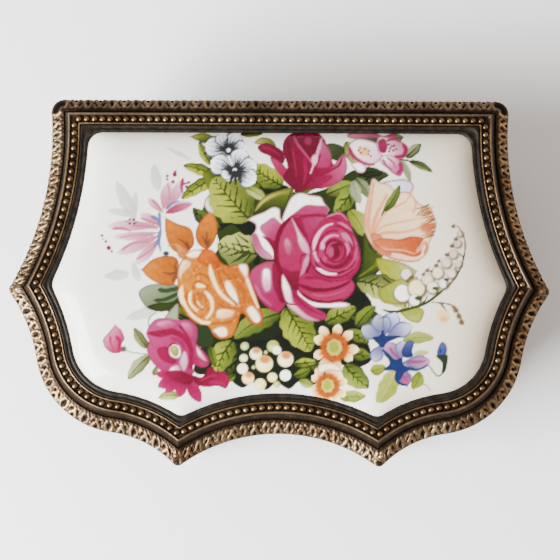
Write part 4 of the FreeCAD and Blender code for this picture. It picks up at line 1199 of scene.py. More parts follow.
def orange_rose(p):
    for outline, toward in (([(-23, 11.6), (-23, 11.6), (-20.5, 10.3), (-18, 9.4), (-17.2, 7.6),
                              (-17.4, 5.6),
                              (-19.5, 4.2), (-21.6, 5.2), (-22.8, 8)], -40),
                            ([(-13.9, 12.7), (-12.7, 11), (-12.4, 9), (-13.2, 6.6), (-14.6, 5.1),
                              (-16.4, 6.4),
                              (-16.8, 8.6), (-15.8, 11)], -90),
                            ([(-27.6, 0.9), (-27.6, 0.9), (-25.5, 2.9), (-23, 3.7), (-20.6, 3.3), (-20, 1),
                              (-20.6, -1.2), (-21.8, -2.3), (-24, -1.9), (-26.2, -0.7)], 0)):
        p.shape(outline, (222, 148, 76), (200, 120, 56), toward)
    for path in ([(-18, 5), (-19, 6.4), (-20.2, 7.2)], [(-18.2, 5.2), (-18.6, 7)], [(-14.6, 5.8), (-15, 7),
                 (-15.6, 7.8)], [(-14.4, 5.8), (-13.9, 7.2)], [(-14.5, 5.6), (-14.6, 8.6)],
                 [(-20.4, 0.4), (-22, 0.1), (-23.4, 0.4)], [(-20.4, 0.6), (-20.9, 1.7), (-20.6, 2.5)],
                 [(-20.4, 0.2), (-21.2, -1), (-21, -1.8)]):
        p.stroke(path, 0.65, (142, 84, 66), 0.2, 0.4)
    p.shape([(-22.4, 5.6), (-21, 5.8), (-20, 3.4), (-17.4, 3), (-18.4, 5), (-20.8, 6.4)], (236, 186, 140),
            (214, 130, 70), 0, 0.4)
    p.shape([(-20.3, -1.4), (-20.4, 0.4), (-19.6, 2.8), (-18.4, 3.8), (-16, 5.1), (-13.4, 4.6), (-12, 2.8),
             (-10.6, 1.9), (-8.6, 2), (-6.3, 2), (-5.8, -1), (-4.6, -4), (-3.9, -6.4), (-3.2, -8.2),
             (-3.6, -10),
             (-5.4, -9.8), (-7.4, -7.8), (-8.2, -10), (-9.2, -12.4), (-11, -13), (-12.8, -12.5),
             (-14.2, -10.4),
             (-16.6, -9.8), (-18.8, -7.6), (-20, -4.6)], (224, 156, 72), (210, 128, 46), 20)
    p.shape([(-20.3, 0), (-19.5, 2.8), (-17.6, 2.7), (-17.8, 1.4), (-19.2, 0), (-19.6, -1.6)], CREAM,
            (240, 200, 150), -30, 0.35)
    p.shape([(-18.8, 4), (-17, 5), (-14.8, 4.7), (-15.4, 3.6), (-17.6, 3.2)], CREAM, WHITE, 90)
    p.shape([(-15.2, 5), (-13.2, 4.7), (-12, 2.6), (-12.4, 1), (-14.6, 1.8), (-16.4, 2.8)], AMBER,
            (226, 128, 34), 120, 0.5)
    for path, width in (([(-13.9, 2), (-13.6, 0.2), (-12.8, -2), (-11.4, -4.2), (-9.2, -5.8),
                          (-8, -6.4)], 1.1),
                        ([(-16.6, -2.2), (-15, -2.4)], 1.2),
                        ([(-19.4, -2.4), (-19.6, -4.4), (-18.4, -7), (-16, -9.4), (-13.8, -9.8)], 1.3),
                        ([(-17.6, -3.4), (-17.8, -5.6), (-16.4, -7.4)], 0.8),
                        ([(-14.9, -3.4), (-13.6, -5), (-13.4, -7.2), (-14.4, -8.8)], 1.0),
                        ([(-16.4, -5.4), (-15.8, -6.5), (-14.8, -6.8)], 0.6),
                        ([(-6.8, 0), (-5.9, -2.4), (-4.9, -5), (-4.2, -6.6)], 0.9)):
        p.stroke(path, width, CREAM, 0.5, 0.45, 0.95)
    p.shape([(-11, -1.5), (-10, -1.2), (-8.6, -3.4), (-8, -5.9), (-9.4, -5), (-10.8, -3.4)], CREAM,
            WHITE, -60,
            0.4)
    p.shape([(-8.2, 2), (-6.6, 2.1), (-6.2, 0.6), (-6.6, -0.8), (-7.8, 0.6)], CREAM, WHITE, 60, 0.3)
    p.shape([(-12.4, -7.2), (-10.6, -6.8), (-8.8, -7.4), (-9.4, -8.6), (-11.4, -9.2), (-12.6, -8.6)], CREAM,
            (240, 206, 164), -60, 0.5)
    p.shape([(-13.2, -11.2), (-11.4, -10.4), (-10.2, -11), (-10.4, -12.7), (-12.4, -12.5)], WHITE, CREAM,
            0, 0.4)
    p.shape([(-6.6, -7), (-5.4, -6.2), (-4, -7.8), (-3.6, -9.2), (-4.6, -9.9), (-5.8, -8.8)], WHITE,
            CREAM, 180,
            0.35)
    for path in ([(-16.6, 0.2), (-14.8, -0.2), (-13.6, -1.6)], [(-17.2, -1.6), (-15.6, -1.4), (-14.2, -2.6)],
                 [(-18.4, -3.4), (-18.4, -5.6), (-17, -7.8), (-15.2, -8.8)], [(-16.9, -4), (-16.8, -5.6),
                 (-15.4, -7), (-14.2, -6)], [(-15.6, -4), (-14.6, -4.8), (-14.6, -5.8)],
                 [(-12.4, 1.2), (-11.6, -1.4), (-10.2, -4.2), (-8.4, -6.2), (-7.4, -7)],
                 [(-9.8, 0.6), (-8, -1.6), (-7, -4.2), (-7.2, -6.4)], [(-11.4, 0.6), (-9.8, -0.6)],
                 [(-12.6, -5.6), (-11, -6.6), (-8.8, -6.8), (-7.2, -7.8)], [(-13.8, -10), (-11.6, -9.8),
                 (-9.4, -9.4), (-8.4, -8)], [(-13, -11.6), (-11.6, -12.9), (-9.6, -12.2)],
                 [(-6.6, -8.4), (-5, -10), (-3.6, -9.6)], [(-19.6, -6), (-17.8, -8.6), (-15.4, -10.2)]):
        p.stroke(path, 0.55, AMBER, 0.4, 0.35, 0.9)
    p.spot(-15.6, -4.4, 0.9, (214, 122, 48), 1.0, 0.8)
    rng = np.random.default_rng(5)
    for k in range(260):
        reach, angle = 6.6 * math.sqrt(rng.random()), rng.uniform(0, 2 * math.pi)
        x, y = -12.4 + 1.1 * reach * math.cos(angle), -4.2 + 1.1 * reach * math.sin(angle)
        tint = (AMBER, (240, 196, 140), (196, 96, 30))[k % 3]
        near = np.abs(p.x - x) + np.abs(p.y - y) < 0.3
        if near.any() and p.color[near, 0].min() - p.color[near, 2].max() > 60:
            p.spot(x, y, rng.uniform(0.12, 0.24), tint, soft=0.3, cover=0.7)


def pink_rose(p):
    p.shape([(-26.4, -11.8), (-25, -9.4), (-22.8, -8.8), (-20.2, -9.2), (-18, -9.2), (-16.4, -10.6),
             (-16.2, -12.6), (-16.4, -14), (-15, -15.4), (-13.8, -17.2), (-14.2, -18.5), (-15.6, -18.7),
             (-17, -18.2), (-17, -20), (-19, -20.9), (-22, -20.2), (-23.6, -19.2), (-25.2, -17.6),
             (-26.2, -15.4), (-25.8, -13.6)], (228, 140, 180), (206, 84, 142), -40)
    p.shape([(-24.6, -10), (-22.4, -9.2), (-20.4, -9.8), (-20.8, -11), (-23, -11.2)], (244, 208, 224),
            PINK, -70,
            0.5)
    p.shape([(-19.6, -9.8), (-17.8, -9.8), (-16.9, -11.2), (-17, -13), (-18.6, -12.2)], (240, 190, 212),
            PINK,
            -60, 0.5)
    p.stroke([(-26, -11.9), (-23.6, -12), (-21, -11.6), (-18.6, -13), (-17.4, -15.4), (-17.5, -18.6)], 1.5,
             MAGENTA, 0.5, 0.4)
    p.stroke([(-20, -10.2), (-18.6, -11.8), (-17.4, -13.8)], 0.6, MAGENTA, 0.5)
    p.stroke([(-21.5, -12.8), (-19.6, -13.6), (-18.5, -15.6), (-18.8, -17.8)], 0.9, ROSE, 0.4, 0.5)
    p.shape([(-24.2, -15.2), (-22.4, -14.6), (-21.3, -15.6), (-20.3, -17), (-21, -18), (-23.2, -17.2)],
            MAGENTA,
            (190, 42, 110), 200, 0.4)
    p.shape([(-21.9, -15), (-20.8, -13.8), (-19.6, -14.6), (-19.4, -16.4), (-20.4, -17), (-21.6, -16.4)],
            WHITE,
            soft=0.4)
    p.shape([(-21.6, -15.2), (-20.8, -14.3), (-20, -15), (-20, -16.2), (-20.8, -16.4)], (206, 204, 120),
            (176, 176, 84), -40, 0.3)
    p.stroke([(-22, -14.6), (-21, -13.9), (-20.2, -14.2)], 0.45, MAGENTA, 0.4)
    p.shape([(-18.9, -15.4), (-18.2, -16), (-18, -18), (-18.8, -19.6), (-19.8, -18), (-19.6, -16.8)],
            (246, 222, 232), BLUSH, -90, 0.4)
    p.shape([(-21.4, -18.6), (-20, -18.2), (-19.4, -19.4), (-20.6, -20), (-21.8, -19.6)], WHITE, BLUSH,
            0, 0.4)
    p.shape([(-16.4, -14.4), (-15.2, -15.8), (-14.2, -17.4), (-15, -17.4), (-16.2, -16.2)], WHITE, BLUSH,
            -60,
            0.4)
    p.shape([(-16.8, -16.8), (-15.8, -17), (-14.4, -17.8), (-15.2, -18.5), (-16.6, -18.2)], PINK, ROSE,
            180, 0.4)
    p.stroke([(-25.2, -13.4), (-24.4, -16.4), (-22.6, -18.6)], 0.6, (222, 130, 172), 0.3, 0.5)
    for base, tip, width in (((-20.6, -20.4), (-24.4, -20), 1.6), ((-20.4, -20.8), (-23.9, -22.6), 2.0),
                             ((-19.6, -20.8), (-22.4, -23.8), 1.7), ((-19, -20.6), (-19.6, -24.6), 2.2),
                             ((-18.6, -20.4), (-15.4, -25.6), 2.4), ((-18.4, -20.2), (-15.6, -22.4), 2.2)):
        p.petal(base, tip, width, MAGENTA, (216, 92, 150), 0.6, 0, None, 2, WINE)
    p.shape([(-22.4, -19.8), (-19.6, -19.4), (-17.2, -20.6), (-17.6, -22), (-20, -21.6)], MAGENTA, WINE,
            0, 0.5)
    p.shape([(-17.2, -20.3), (-15.2, -20.7), (-14, -18.7), (-13, -18.6), (-12.6, -19.4), (-10.8, -19.6),
             (-9.8, -21), (-10.4, -22.8), (-12, -22.4), (-14, -22.5), (-16, -22.2)], WINE,
             (190, 40, 106), -30)
    p.stroke([(-13.6, -21.6), (-12, -21.8), (-10.6, -22.2)], 0.9, (206, 72, 132), 0.6, 0.5)
    p.stroke([(-15.6, -21.4), (-13.4, -20.4), (-12, -20.4)], 0.5, ROSE, 0.3)
    p.shape([(-32.6, -10.2), (-32.6, -10.2), (-31.4, -11.4), (-30.7, -13), (-31.4, -14.2), (-31, -15.4),
             (-32.6, -16), (-34.2, -15.2), (-35, -13.4), (-34, -12)], (240, 186, 204), (214, 108, 148), -40)
    p.stroke([(-32.4, -12.6), (-31.6, -13.6), (-31.8, -15.4)], 0.8, ROSE, 0.6, 0.4)
    p.stroke([(-33.6, -12.4), (-33.4, -14), (-32.6, -15.4)], 0.4, (206, 84, 136))
    p.stroke([(-31.9, -11), (-31.2, -12), (-31.4, -12.8)], 0.5, (216, 110, 150))
    p.spot(-30.8, -15.1, 0.5, (96, 100, 72), 1.0, 0.5)
    p.stroke([(-30.8, -15.1), (-29, -15.8), (-26, -16.1)], 0.22, (150, 160, 140), 0.8)
    p.stroke([(-26, -10.6), (-25.8, -8.8), (-24.4, -7.7)], 0.3, (140, 150, 140), 0.6)


def pale_flowers(p):
    """Two hanging flowers with long pale petals, dotted stamens and a violet-blue stem."""
    blush, edge = (243, 226, 232), (230, 174, 192)
    for base, tip, width, bend in (((-24, 9.6), (-34.6, 9.8), 2.2, -0.2),
                                   ((-24, 8.6), (-33.4, 7.6), 1.7, 0.3),
                                   ((-24, 8), (-32.6, 4.2), 2.3, 0.2), ((-24, 7.4), (-28.9, 2), 2.2, 0.2),
                                   ((-24, 10), (-28, 12.4), 1.9, 0), ((-23.6, 12.6), (-26.6, 15.6), 1.5, 0),
                                   ((-23.4, 13), (-22, 19), 2.2, 0.3),
                                   ((-22.8, 13.6), (-19.6, 19.4), 2.2, -0.3),
                                   ((-23, 12.4), (-17.4, 14.6), 2.1, 0.2)):
        p.petal(base, tip, width, edge, blush, 0.6, bend)
    for path, width, color in (([(-33.6, 9.2), (-31.5, 9.3), (-30, 8.8)], 0.55, (224, 138, 168)),
                               ([(-31.6, 4.8), (-29.5, 6.2), (-26.5, 6.6)], 0.45, (226, 150, 176)),
                               ([(-29.6, 9.8), (-27, 9.8), (-24.6, 9.2)], 0.4, (226, 156, 180)),
                               ([(-28, 11.4), (-26, 10.8), (-24.4, 10)], 0.4, (222, 140, 170)),
                               ([(-28.6, 3), (-26.4, 4.4), (-24.6, 6)], 0.4, (228, 160, 184)),
                               ([(-32, 7.4), (-29, 7.9), (-25.4, 7.8)], 0.35, (232, 176, 196)),
                               ([(-25.8, 15.2), (-24.4, 14), (-23.5, 12.6)], 0.5, (226, 150, 176)),
                               ([(-22.6, 18.6), (-22.2, 16), (-22.9, 13.6)], 0.4, (234, 176, 196)),
                               ([(-19.5, 19.6), (-19.8, 18), (-19.6, 16.8)], 0.6, (196, 60, 110)),
                               ([(-19.6, 18.4), (-18.6, 18.7)], 0.4, (170, 40, 92))):
        p.stroke(path, width, color, 0.4, 0.4)
    p.shape([(-22.9, 12.6), (-21, 14), (-18.8, 14.5), (-17.8, 14.2), (-20, 13), (-21.6, 12.4)],
            (220, 100, 146), (238, 188, 206), 20, 0.4)
    blue = (112, 128, 184)
    for path, width in (([(-25.8, 11.8), (-24.4, 11), (-23.8, 8.8)], 0.9),
                        ([(-24.2, 12.6), (-23.9, 10)], 0.7),
                        ([(-23.9, 9), (-24.2, 6.6), (-23.8, 4.8)], 0.9), ([(-22.9, 13.2), (-21.6, 14.4),
                        (-20.3, 15)], 0.6), ([(-24.2, 7), (-25, 5.6)], 0.5)):
        p.stroke(path, width, blue, 0.3, 0.35, 0.9)
    p.spot(-22.7, 4.2, 0.55, (58, 72, 74), 0.8, 0.5)
    for x, y, size in ((-30.1, 11.1, 0.22), (-29.3, 11.1, 0.26), (-30.1, 10.3, 0.24), (-29.2, 10.3, 0.24),
                       (-28.7, 10.5, 0.14), (-30.8, 10.7, 0.14), (-35.6, 7.8, 0.24), (-35.4, 7.1, 0.15),
                       (-34.8, 6.6, 0.24), (-33.6, 4.6, 0.22), (-22.7, 20.1, 0.25), (-22.7, 19.4, 0.22),
                       (-18.8, 17.9, 0.3), (-18.3, 18.8, 0.24)):
        p.spot(x, y, size, (110, 56, 82), soft=0.25)
    for x, y, size in ((-34.2, 5.3, 0.42), (-21.2, 20.4, 0.42), (-21.5, 18.9, 0.3), (-21.1, 21, 0.22)):
        p.spot(x, y, size, (168, 52, 98), soft=0.35)


def blossoms(p):
    p.shape([(13.6, 28.6), (15, 29.4), (18.6, 29.4), (21, 28.6), (23.4, 29.4), (23, 28), (19, 28.2),
             (15, 28)],
            (238, 186, 198), (226, 140, 172), 0, 0.4)
    p.shape([(13.9, 26.6), (15.4, 28), (17.8, 27.8), (20, 26.8), (20.8, 24.8), (19.8, 23.2), (17.6, 22.5),
             (15.6, 23.5), (14.3, 25)], WHITE, (248, 230, 236), -60)
    p.stroke([(14.1, 26.2), (14.4, 25), (15.6, 23.7), (17.4, 22.8), (19, 22.7)], 0.95, (214, 92, 148),
             0.3, 0.45)
    p.stroke([(14, 24.8), (13.2, 24.2)], 0.8, (222, 130, 166), 0.4, 0.4)
    p.spot(17, 25.3, 1.1, (248, 214, 180), 0.9, 0.9)
    for x, y in ((16.4, 25.1), (17.2, 25.9), (18, 25.5), (17.9, 24.8), (16.2, 26.2), (18.4, 24.4),
                 (15.9, 25.6)):
        p.spot(x, y, 0.2, (150, 82, 60), soft=0.2)
    p.shape([(14.4, 22.8), (16, 23.2), (17.4, 22.2), (17, 21), (15.8, 21), (15, 21.8)], WHITE)
    p.shape([(19.6, 27.6), (20.4, 28.6), (22.4, 28.2), (24.8, 27.4), (25.9, 25.6), (25, 24), (22.4, 23.9),
             (20.4, 24.6), (19.6, 26)], WHITE, (240, 196, 212), 20)
    p.shape([(19.9, 27.4), (21, 28), (21.7, 26.8), (21.3, 25.2), (20.2, 25.4)], (206, 76, 136), PINK, 90,
            0.4)
    p.stroke([(24.9, 27), (25.5, 25.8), (24.9, 24.5), (23.4, 24.3)], 0.95, (206, 78, 136), 0.6, 0.45)
    p.stroke([(21.6, 27.6), (23, 27.9), (24.4, 27.3)], 0.5, PINK, 0.5)
    for x, y in ((22, 26.9), (22.6, 26.5), (22.3, 26), (23.1, 26.6), (22.9, 25.6), (22.1, 25.4),
                 (23.5, 25.9)):
        p.spot(x, y, 0.2, (160, 30, 84), soft=0.2)
    p.shape([(20.4, 24.3), (22, 24.7), (24.2, 23.6), (24.9, 21.6), (24.3, 20.3), (23, 20.7), (21.6, 22),
             (20.4, 23)], WHITE, (238, 178, 204), -50)
    p.stroke([(24.3, 23.2), (24.5, 21.8), (23.9, 20.9)], 0.95, (214, 98, 152), 0.6, 0.5)
    p.stroke([(20.8, 23.8), (21.4, 22.6), (22.6, 21.6)], 0.5, (226, 138, 178), 0.5, 0.4)
    p.stroke([(21.6, 24.2), (22.8, 23.2), (23.4, 22)], 0.35, (226, 138, 178), 0.5, 0.4)


def tulip(p):
    p.shape([(20, 18.5), (22.6, 19.4), (25.4, 19.6), (27, 18.4), (26, 16.6), (22, 15.6)], (236, 238, 240),
            (222, 224, 228), 0, 0.5)
    p.shape([(18.6, 19.7), (17.8, 16), (17.1, 12.6), (17, 9.6), (17.9, 7), (19.4, 5), (21.4, 3.7), (24, 2.9),
             (26.8, 2.7), (28.8, 3.6), (29.8, 5), (30.1, 6.6), (30.8, 8.2), (31.5, 10), (31, 12.4),
             (29.6, 13.8),
             (27.8, 15), (26, 17), (23.6, 17.2), (22, 18.6), (20.2, 19)], (240, 220, 196),
             (244, 226, 204), 40)
    for path, width in (([(18.4, 7.6), (17.8, 10.4), (18.2, 14), (19, 19)], 1.0),
                        ([(18.8, 7.6), (18.9, 10.4), (19.8, 13), (21.6, 16.4)], 0.95),
                        ([(19, 8), (20, 11), (22, 13.4), (25, 14.8), (26.6, 16.8)], 0.5),
                        ([(19.2, 8), (21.4, 8.7), (25, 8.8), (28.6, 9.8)], 0.7),
                        ([(19, 8.4), (21, 10), (24, 10.8), (28, 11.6)], 0.35),
                        ([(26.8, 12.8), (27.4, 14.4), (27, 15.8)], 0.45),
                        ([(17.3, 9.6), (17.3, 12.8), (18, 16.4)], 0.5)):
        p.stroke(path, width, (240, 182, 150), 0.4, 0.5, 0.95)
    p.shape([(18.4, 8.4), (20.4, 8), (21.4, 6), (22.4, 4.2), (20.8, 4.2), (19, 5.8)], (234, 162, 134),
            (230, 150, 116), 0, 0.7)
    p.shape([(18.8, 6.8), (21, 7.5), (24, 7.3), (26.4, 7.9), (28.8, 7.6), (28.2, 6.2), (28.4, 4.6),
             (27, 3.8),
             (24, 4.5), (21, 4.9)], (232, 150, 112), (216, 116, 76), 20, 0.4)
    p.stroke([(20.4, 5.6), (22, 5.2), (24.6, 5.1), (27, 4.4)], 0.5, (240, 190, 164), 0.5, 0.4)
    p.stroke([(27.4, 4.6), (28.2, 5.6), (29, 6.6), (29.6, 6)], 0.9, (238, 188, 168), 0.6, 0.5)
    p.stroke([(19.6, 4.9), (22, 3.7), (25, 3), (28, 3)], 0.45, (230, 154, 134), 0.5)
    p.stroke([(29, 4.4), (29.5, 5.6), (29.4, 6.8)], 0.5, (226, 140, 128), 0.5, 0.4)
    for step in range(13):
        y = 7.8 + step * 0.5
        x = 30.9 + 0.5 * math.sin((y - 7) * 0.5) - 0.03 * (y - 9) ** 2
        lean = 0.5 + 0.25 * math.sin(step * 2.3)
        color = (214, 128, 96) if step % 3 else (152, 122, 78)
        p.stroke([(x, y + lean), (x - 1.2, y + 0.1), (x - 2.1 - 0.5 * math.sin(step * 1.7), y - 0.2)],
                 0.5, color,
                 0.2, 0.35)
    for step in range(4):
        x = 27.6 + step * 0.6
        p.stroke([(x, 12.2), (x + 0.8, 13.2), (x + 1.4, 13.9)], 0.32, (176, 140, 96), 0.2, 0.3)
    p.spot(29.4, 9.8, 1.1, (222, 132, 100), 0.9, 1.2, 0.8)
    p.leaf((21, 13), (24.2, 18.4), 1.8, (150, 166, 92), (78, 98, 40), -0.3, -1, 0)
    p.stroke([(21.6, 14), (20.9, 13), (20.5, 12.2)], 0.5, (86, 104, 46), 0.4)


def bells(p):
    """Arching stem of small cream bells, and a sprig below it."""
    brown, leaf_green = (118, 98, 76), (74, 92, 38)
    p.shape([(19.8, -3.2), (22, -1.6), (25, -0.6), (28, -1), (29.6, -3), (27.6, -4.8), (24, -5.8),
             (20.8, -5.4)],
            (176, 186, 84), (206, 208, 140), 0, 0.6)
    for x, y, size, color in ((24.6, -3.6, 1.9, WHITE), (25.4, 0.2, 1.2, (246, 240, 246)),
                              (27.4, -2.6, 1.9, (244, 236, 206)), (27, -5, 1.3, WHITE),
                              (29.6, -0.8, 1.3, (240, 228, 212)), (30.6, -2.4, 1.3, (238, 236, 220)),
                              (31.6, 0.6, 1.3, (238, 230, 220)), (32.8, -1.6, 1.1, (238, 236, 236)),
                              (33.4, 2.6, 1.1, (232, 222, 212)), (34.4, 0.4, 1.0, (236, 228, 222)),
                              (34.8, 4.4, 1.0, (230, 218, 206)), (35.8, 2.4, 0.8, (230, 220, 210)),
                              (35.6, 6.6, 0.9, (228, 216, 204)), (36.2, 8.6, 0.7, (228, 218, 208))):
        p.spot(x + 0.15, y - 0.2, size * 1.05, (140, 132, 98), 1.0, 0.5, 0.75)
        p.spot(x, y, size * 0.85, color, 1.05, 0.35)
    p.stroke([(20.6, -7), (23, -7.4), (26, -6.7), (29.4, -5.5), (32.4, -3.2)], 0.62, leaf_green, 0.75)
    p.stroke([(32, -3.6), (34.2, -1.6), (36, 1), (37, 4), (37.2, 7), (36.3, 9.4), (35.5, 10.2)], 0.42,
             brown, 0.3)
    for x0, y0, x1, y1 in ((28.2, -6, 27.6, -4.4), (28.4, -5.8, 29.6, -4), (31.6, -4, 31, -2.4),
                           (33.4, -2.2, 33.2, -0.6), (25.6, -6.8, 25.6, -5.4), (35.6, 0.4, 35, 1.6),
                           (36.9, 3.4, 36.1, 4.4)):
        p.stroke([(x0, y0), ((x0 + x1) / 2 + 0.2, (y0 + y1) / 2), (x1, y1)], 0.3, leaf_green, 0.6)
    for x, y, size in ((27.8, -4.6, 0.75), (31.2, -2.6, 0.6), (33.4, -0.8, 0.5), (26.4, -0.4, 0.5)):
        p.spot(x, y, size, leaf_green, 0.6, 0.4, 0.9)
    for x, y, size in ((25.6, -1.2, 0.4), (28.8, 0.2, 0.36), (29.6, 1, 0.42), (31.4, 2, 0.46),
                       (31.9, 2.9, 0.34),
                       (33.6, 4.2, 0.48), (34.6, 6, 0.48), (35.4, 7.4, 0.42), (34.9, 10, 0.4),
                       (30.4, 0.8, 0.3)):
        p.spot(x, y, size, (134, 104, 78), 0.8, 0.4, 0.9)
        p.stroke([(x, y), (x + 0.4, y + 0.6)], 0.3, (150, 124, 98), 0.3)
    p.stroke([(25.4, -1.3), (26.4, -0.3), (27.6, -0.5)], 0.5, (142, 128, 58), 0.5)
    p.stroke([(30.4, -5.4), (32.6, -5.6), (34.4, -6), (35.6, -7.4), (36.6, -9.8)], 0.32, (132, 112, 80), 0.8)
    p.stroke([(32.2, -5.7), (32.8, -6.4), (33.4, -7.4)], 0.5, (116, 124, 60), 0.3)
    p.spot(32.6, -8, 1.4, (246, 224, 186), 0.8, 1.0)
    p.spot(32.8, -8.8, 0.8, (240, 206, 160), 0.7, 0.8)
    for x, y, size in ((35.2, -7, 0.5), (35.8, -8.2, 0.5), (36.3, -9.4, 0.5), (34.8, -6.4, 0.35)):
        p.spot(x, y, size, (146, 112, 76), 1.0, 0.5, 0.85)


def daisies(p):
    for cx, cy, reach, petals, first, cream in ((11, -14.6, 4.7, 9, 80, (250, 240, 214)),
                                                (9.7, -22.2, 3.9, 10, 84, (250, 238, 208))):
        for k in range(petals):
            angle = math.radians(first + k * 360 / petals + 6 * math.sin(k * 2.4))
            size = reach * (1 + 0.07 * math.sin(k * 1.9))
            start = np.array([cx, cy]) + 1.2 * heading(angle)
            p.petal(start, np.array([cx, cy]) + size * heading(angle), reach * 0.42, (236, 170, 100),
                    cream, 0.66)
        p.spot(cx, cy, reach * 0.58, (204, 112, 42), 1.05, 0.7)
        for k in range(16):
            angle = math.radians(k * 22.5 + 8 * math.sin(k * 3.1))
            inner = np.array([cx, cy]) + reach * 0.5 * heading(angle)
            outer = np.array([cx, cy]) + reach * (0.66 + 0.05 * math.sin(k * 2.2)) * heading(angle)
            p.stroke([inner, outer], 0.35, (200, 108, 40), 0.2, 0.3)
        p.spot(cx, cy, reach * 0.33, (214, 208, 122), 1.1, 0.4)
        p.spot(cx - 0.1, cy + 0.1, reach * 0.2, (182, 190, 84), 1.2, 0.5)
        for k in range(7):
            angle = math.radians(k * 51 + 20)
            p.spot(cx + reach * 0.36 * math.cos(angle), cy + reach * 0.38 * math.sin(angle), 0.17,
                   (150, 76, 30))
    p.shape([(7.8, -18.2), (9.4, -17.6), (11.6, -18), (12.4, -19.4), (10, -19.2), (8, -19.8)],
            (248, 240, 212),
            soft=0.4)


def berries(p):
    for x, y, size, color, top in ((-6.8, -14.4, 0.85, (206, 216, 160), None),
                                   (-1.2, -14.4, 1.25, (196, 206, 120), None),
                                   (-0.4, -15.2, 0.9, (248, 244, 226), None),
                                   (-4.6, -15.9, 1.25, (240, 240, 204), (228, 156, 110)),
                                   (-7, -16.8, 0.85, (232, 234, 190), None),
                                   (-2.9, -17.9, 1.75, (246, 234, 188), (232, 160, 92)),
                                   (1.3, -17, 1.6, (250, 238, 210), (234, 150, 88)),
                                   (-7.2, -18.9, 1.1, (250, 238, 224), None),
                                   (-6.1, -20.8, 1.25, (248, 226, 190), (228, 166, 104)),
                                   (-1.3, -20.6, 1.0, (240, 236, 182), None),
                                   (1.3, -20.2, 1.15, (250, 250, 236), None),
                                   (-3.7, -22, 1.2, (240, 236, 176), None),
                                   (-2.6, -15.6, 0.4, (190, 200, 130), None),
                                   (-5, -18.6, 0.4, (200, 208, 140), None),
                                   (-0.4, -22, 0.7, (206, 206, 124), None)):
        p.spot(x, y, size, color, 0.98, 0.3)
        p.spot(x - 0.2 * size, y - 0.2 * size, size * 0.5, (252, 248, 232), 0.9, 0.8, 0.6)
        if top:
            p.spot(x + 0.15, y + 0.5 * size, size * 0.55, top, 0.8, 0.8, 0.9)


def blue_flowers(p):
    line = (92, 108, 172)
    for base, tip, width, color in (((20.4, -12.6), (16.4, -10.6), 2.9, MIST),
                                    ((20.6, -12), (19.6, -8), 3.2, MIST),
                                    ((21, -12), (23.2, -7.6), 3.4, (222, 226, 238)),
                                    ((21.4, -12.2), (26.4, -10.2), 2.9, (222, 222, 236)),
                                    ((20.2, -14), (18.8, -17.4), 2.4, MIST),
                                    ((24, -17.6), (21.2, -13.6), 3.0, (236, 214, 228)),
                                    ((24, -17), (24.8, -13.2), 2.6, (232, 222, 236)),
                                    ((24.4, -17.6), (30, -17.4), 2.5, (238, 214, 228)),
                                    ((24, -18.4), (25.6, -22), 2.4, (232, 180, 208))):
        p.petal(base, tip, width + 0.3, VIOLET, color, 0.62, 0, line)
        p.petal(base, tip, width * 0.72, VIOLET, color, 0.62)
    p.shape([(18.6, -12.6), (20, -12.2), (20.6, -11), (21.4, -12.2), (24.2, -12.2), (22.6, -13),
             (21.4, -13.6),
             (20.6, -14.6), (19.6, -13.8)], NAVY, soft=0.3)
    p.shape([(20.4, -14.8), (21.8, -15.8), (23, -17), (24.4, -16.6), (24.8, -18), (27, -18.8), (25, -19.4),
             (24, -21), (23, -20.4), (23, -19.2), (20.8, -19), (22, -17.6)], NAVY, (44, 66, 132), -60, 0.3)
    p.shape([(24.6, -14.6), (25.6, -13.2), (26.8, -13.4), (26.4, -15.2), (26.6, -16.2), (25.2, -16.6),
             (24.4, -15.8)], (104, 116, 182), NAVY, -90, 0.3)
    p.stroke([(23, -20.2), (23.8, -21.6), (25.4, -22.1)], 0.8, NAVY, 0.5)
    for path in ([(22, -14.6), (22.8, -15.8), (23.8, -16.6)], [(25.4, -17.4), (27.4, -17.4), (29, -17.2)],
                 [(24.6, -20.2), (25.2, -21), (25.6, -21.4)]):
        p.stroke(path, 0.55, (226, 130, 170), 0.4, 0.4)
    p.stroke([(19.8, -8.8), (21.6, -8.4), (22.2, -10), (21.6, -11.4)], 0.25, line, 0.6)
    p.stroke([(24.6, -18.6), (27.4, -19), (29.4, -18)], 0.5, NAVY, 0.4)
    p.shape([(31.4, -15.9), (31.8, -14.2), (32.4, -13.4), (33.2, -14), (33.3, -15.4), (32.6, -16.2)],
            (84, 102, 172), (112, 128, 190), 90, 0.3)
    p.stroke([(32, -15.6), (32.2, -14.6)], 0.3, NAVY)
    p.shape([(31.2, -16.2), (32.4, -16), (33.5, -16.1), (33.2, -18.4), (32.8, -19.4), (32.3, -19.6),
             (32.4, -17.6)],
            (58, 78, 56), (44, 62, 40), -90, 0.3)
    p.stroke([(32.5, -19.6), (31.6, -20.2), (30.8, -19.6), (30, -18.4), (29.2, -17.9)], 0.28,
             (96, 100, 92), 0.7)
    p.stroke([(26.8, -21.2), (28, -21.5), (29.4, -22.2), (29.9, -23.2)], 0.2, (150, 152, 140), 0.6)


def paint_plaque(x, y):
    """Bouquet of garden flowers, laid on from the back to the front, over a painted warm shade towards the
    right-hand side.
    """
    p = Painting(x, y)
    # painted warm shade: the porcelain white is darkened and warmed towards the right-hand side
    p.color *= 1 - ease((x - 8) / 36)[:, None] * PAINTED_WARM_SHADE
    faint_leaves(p)
    pale_flowers(p)
    dark_ground(p)
    back_leaves(p)
    leaves_left(p)
    leaves_middle(p)
    leaves_right(p)
    blossoms(p)
    tulip(p)
    bells(p)
    white_flowers(p)
    berries(p)
    daisies(p)
    blue_flowers(p)
    pink_rose(p)
    orange_rose(p)
    rosebud(p)
    great_rose(p)
    p.scatter(9.0, 2.6, 11)
    return fired(p.color)


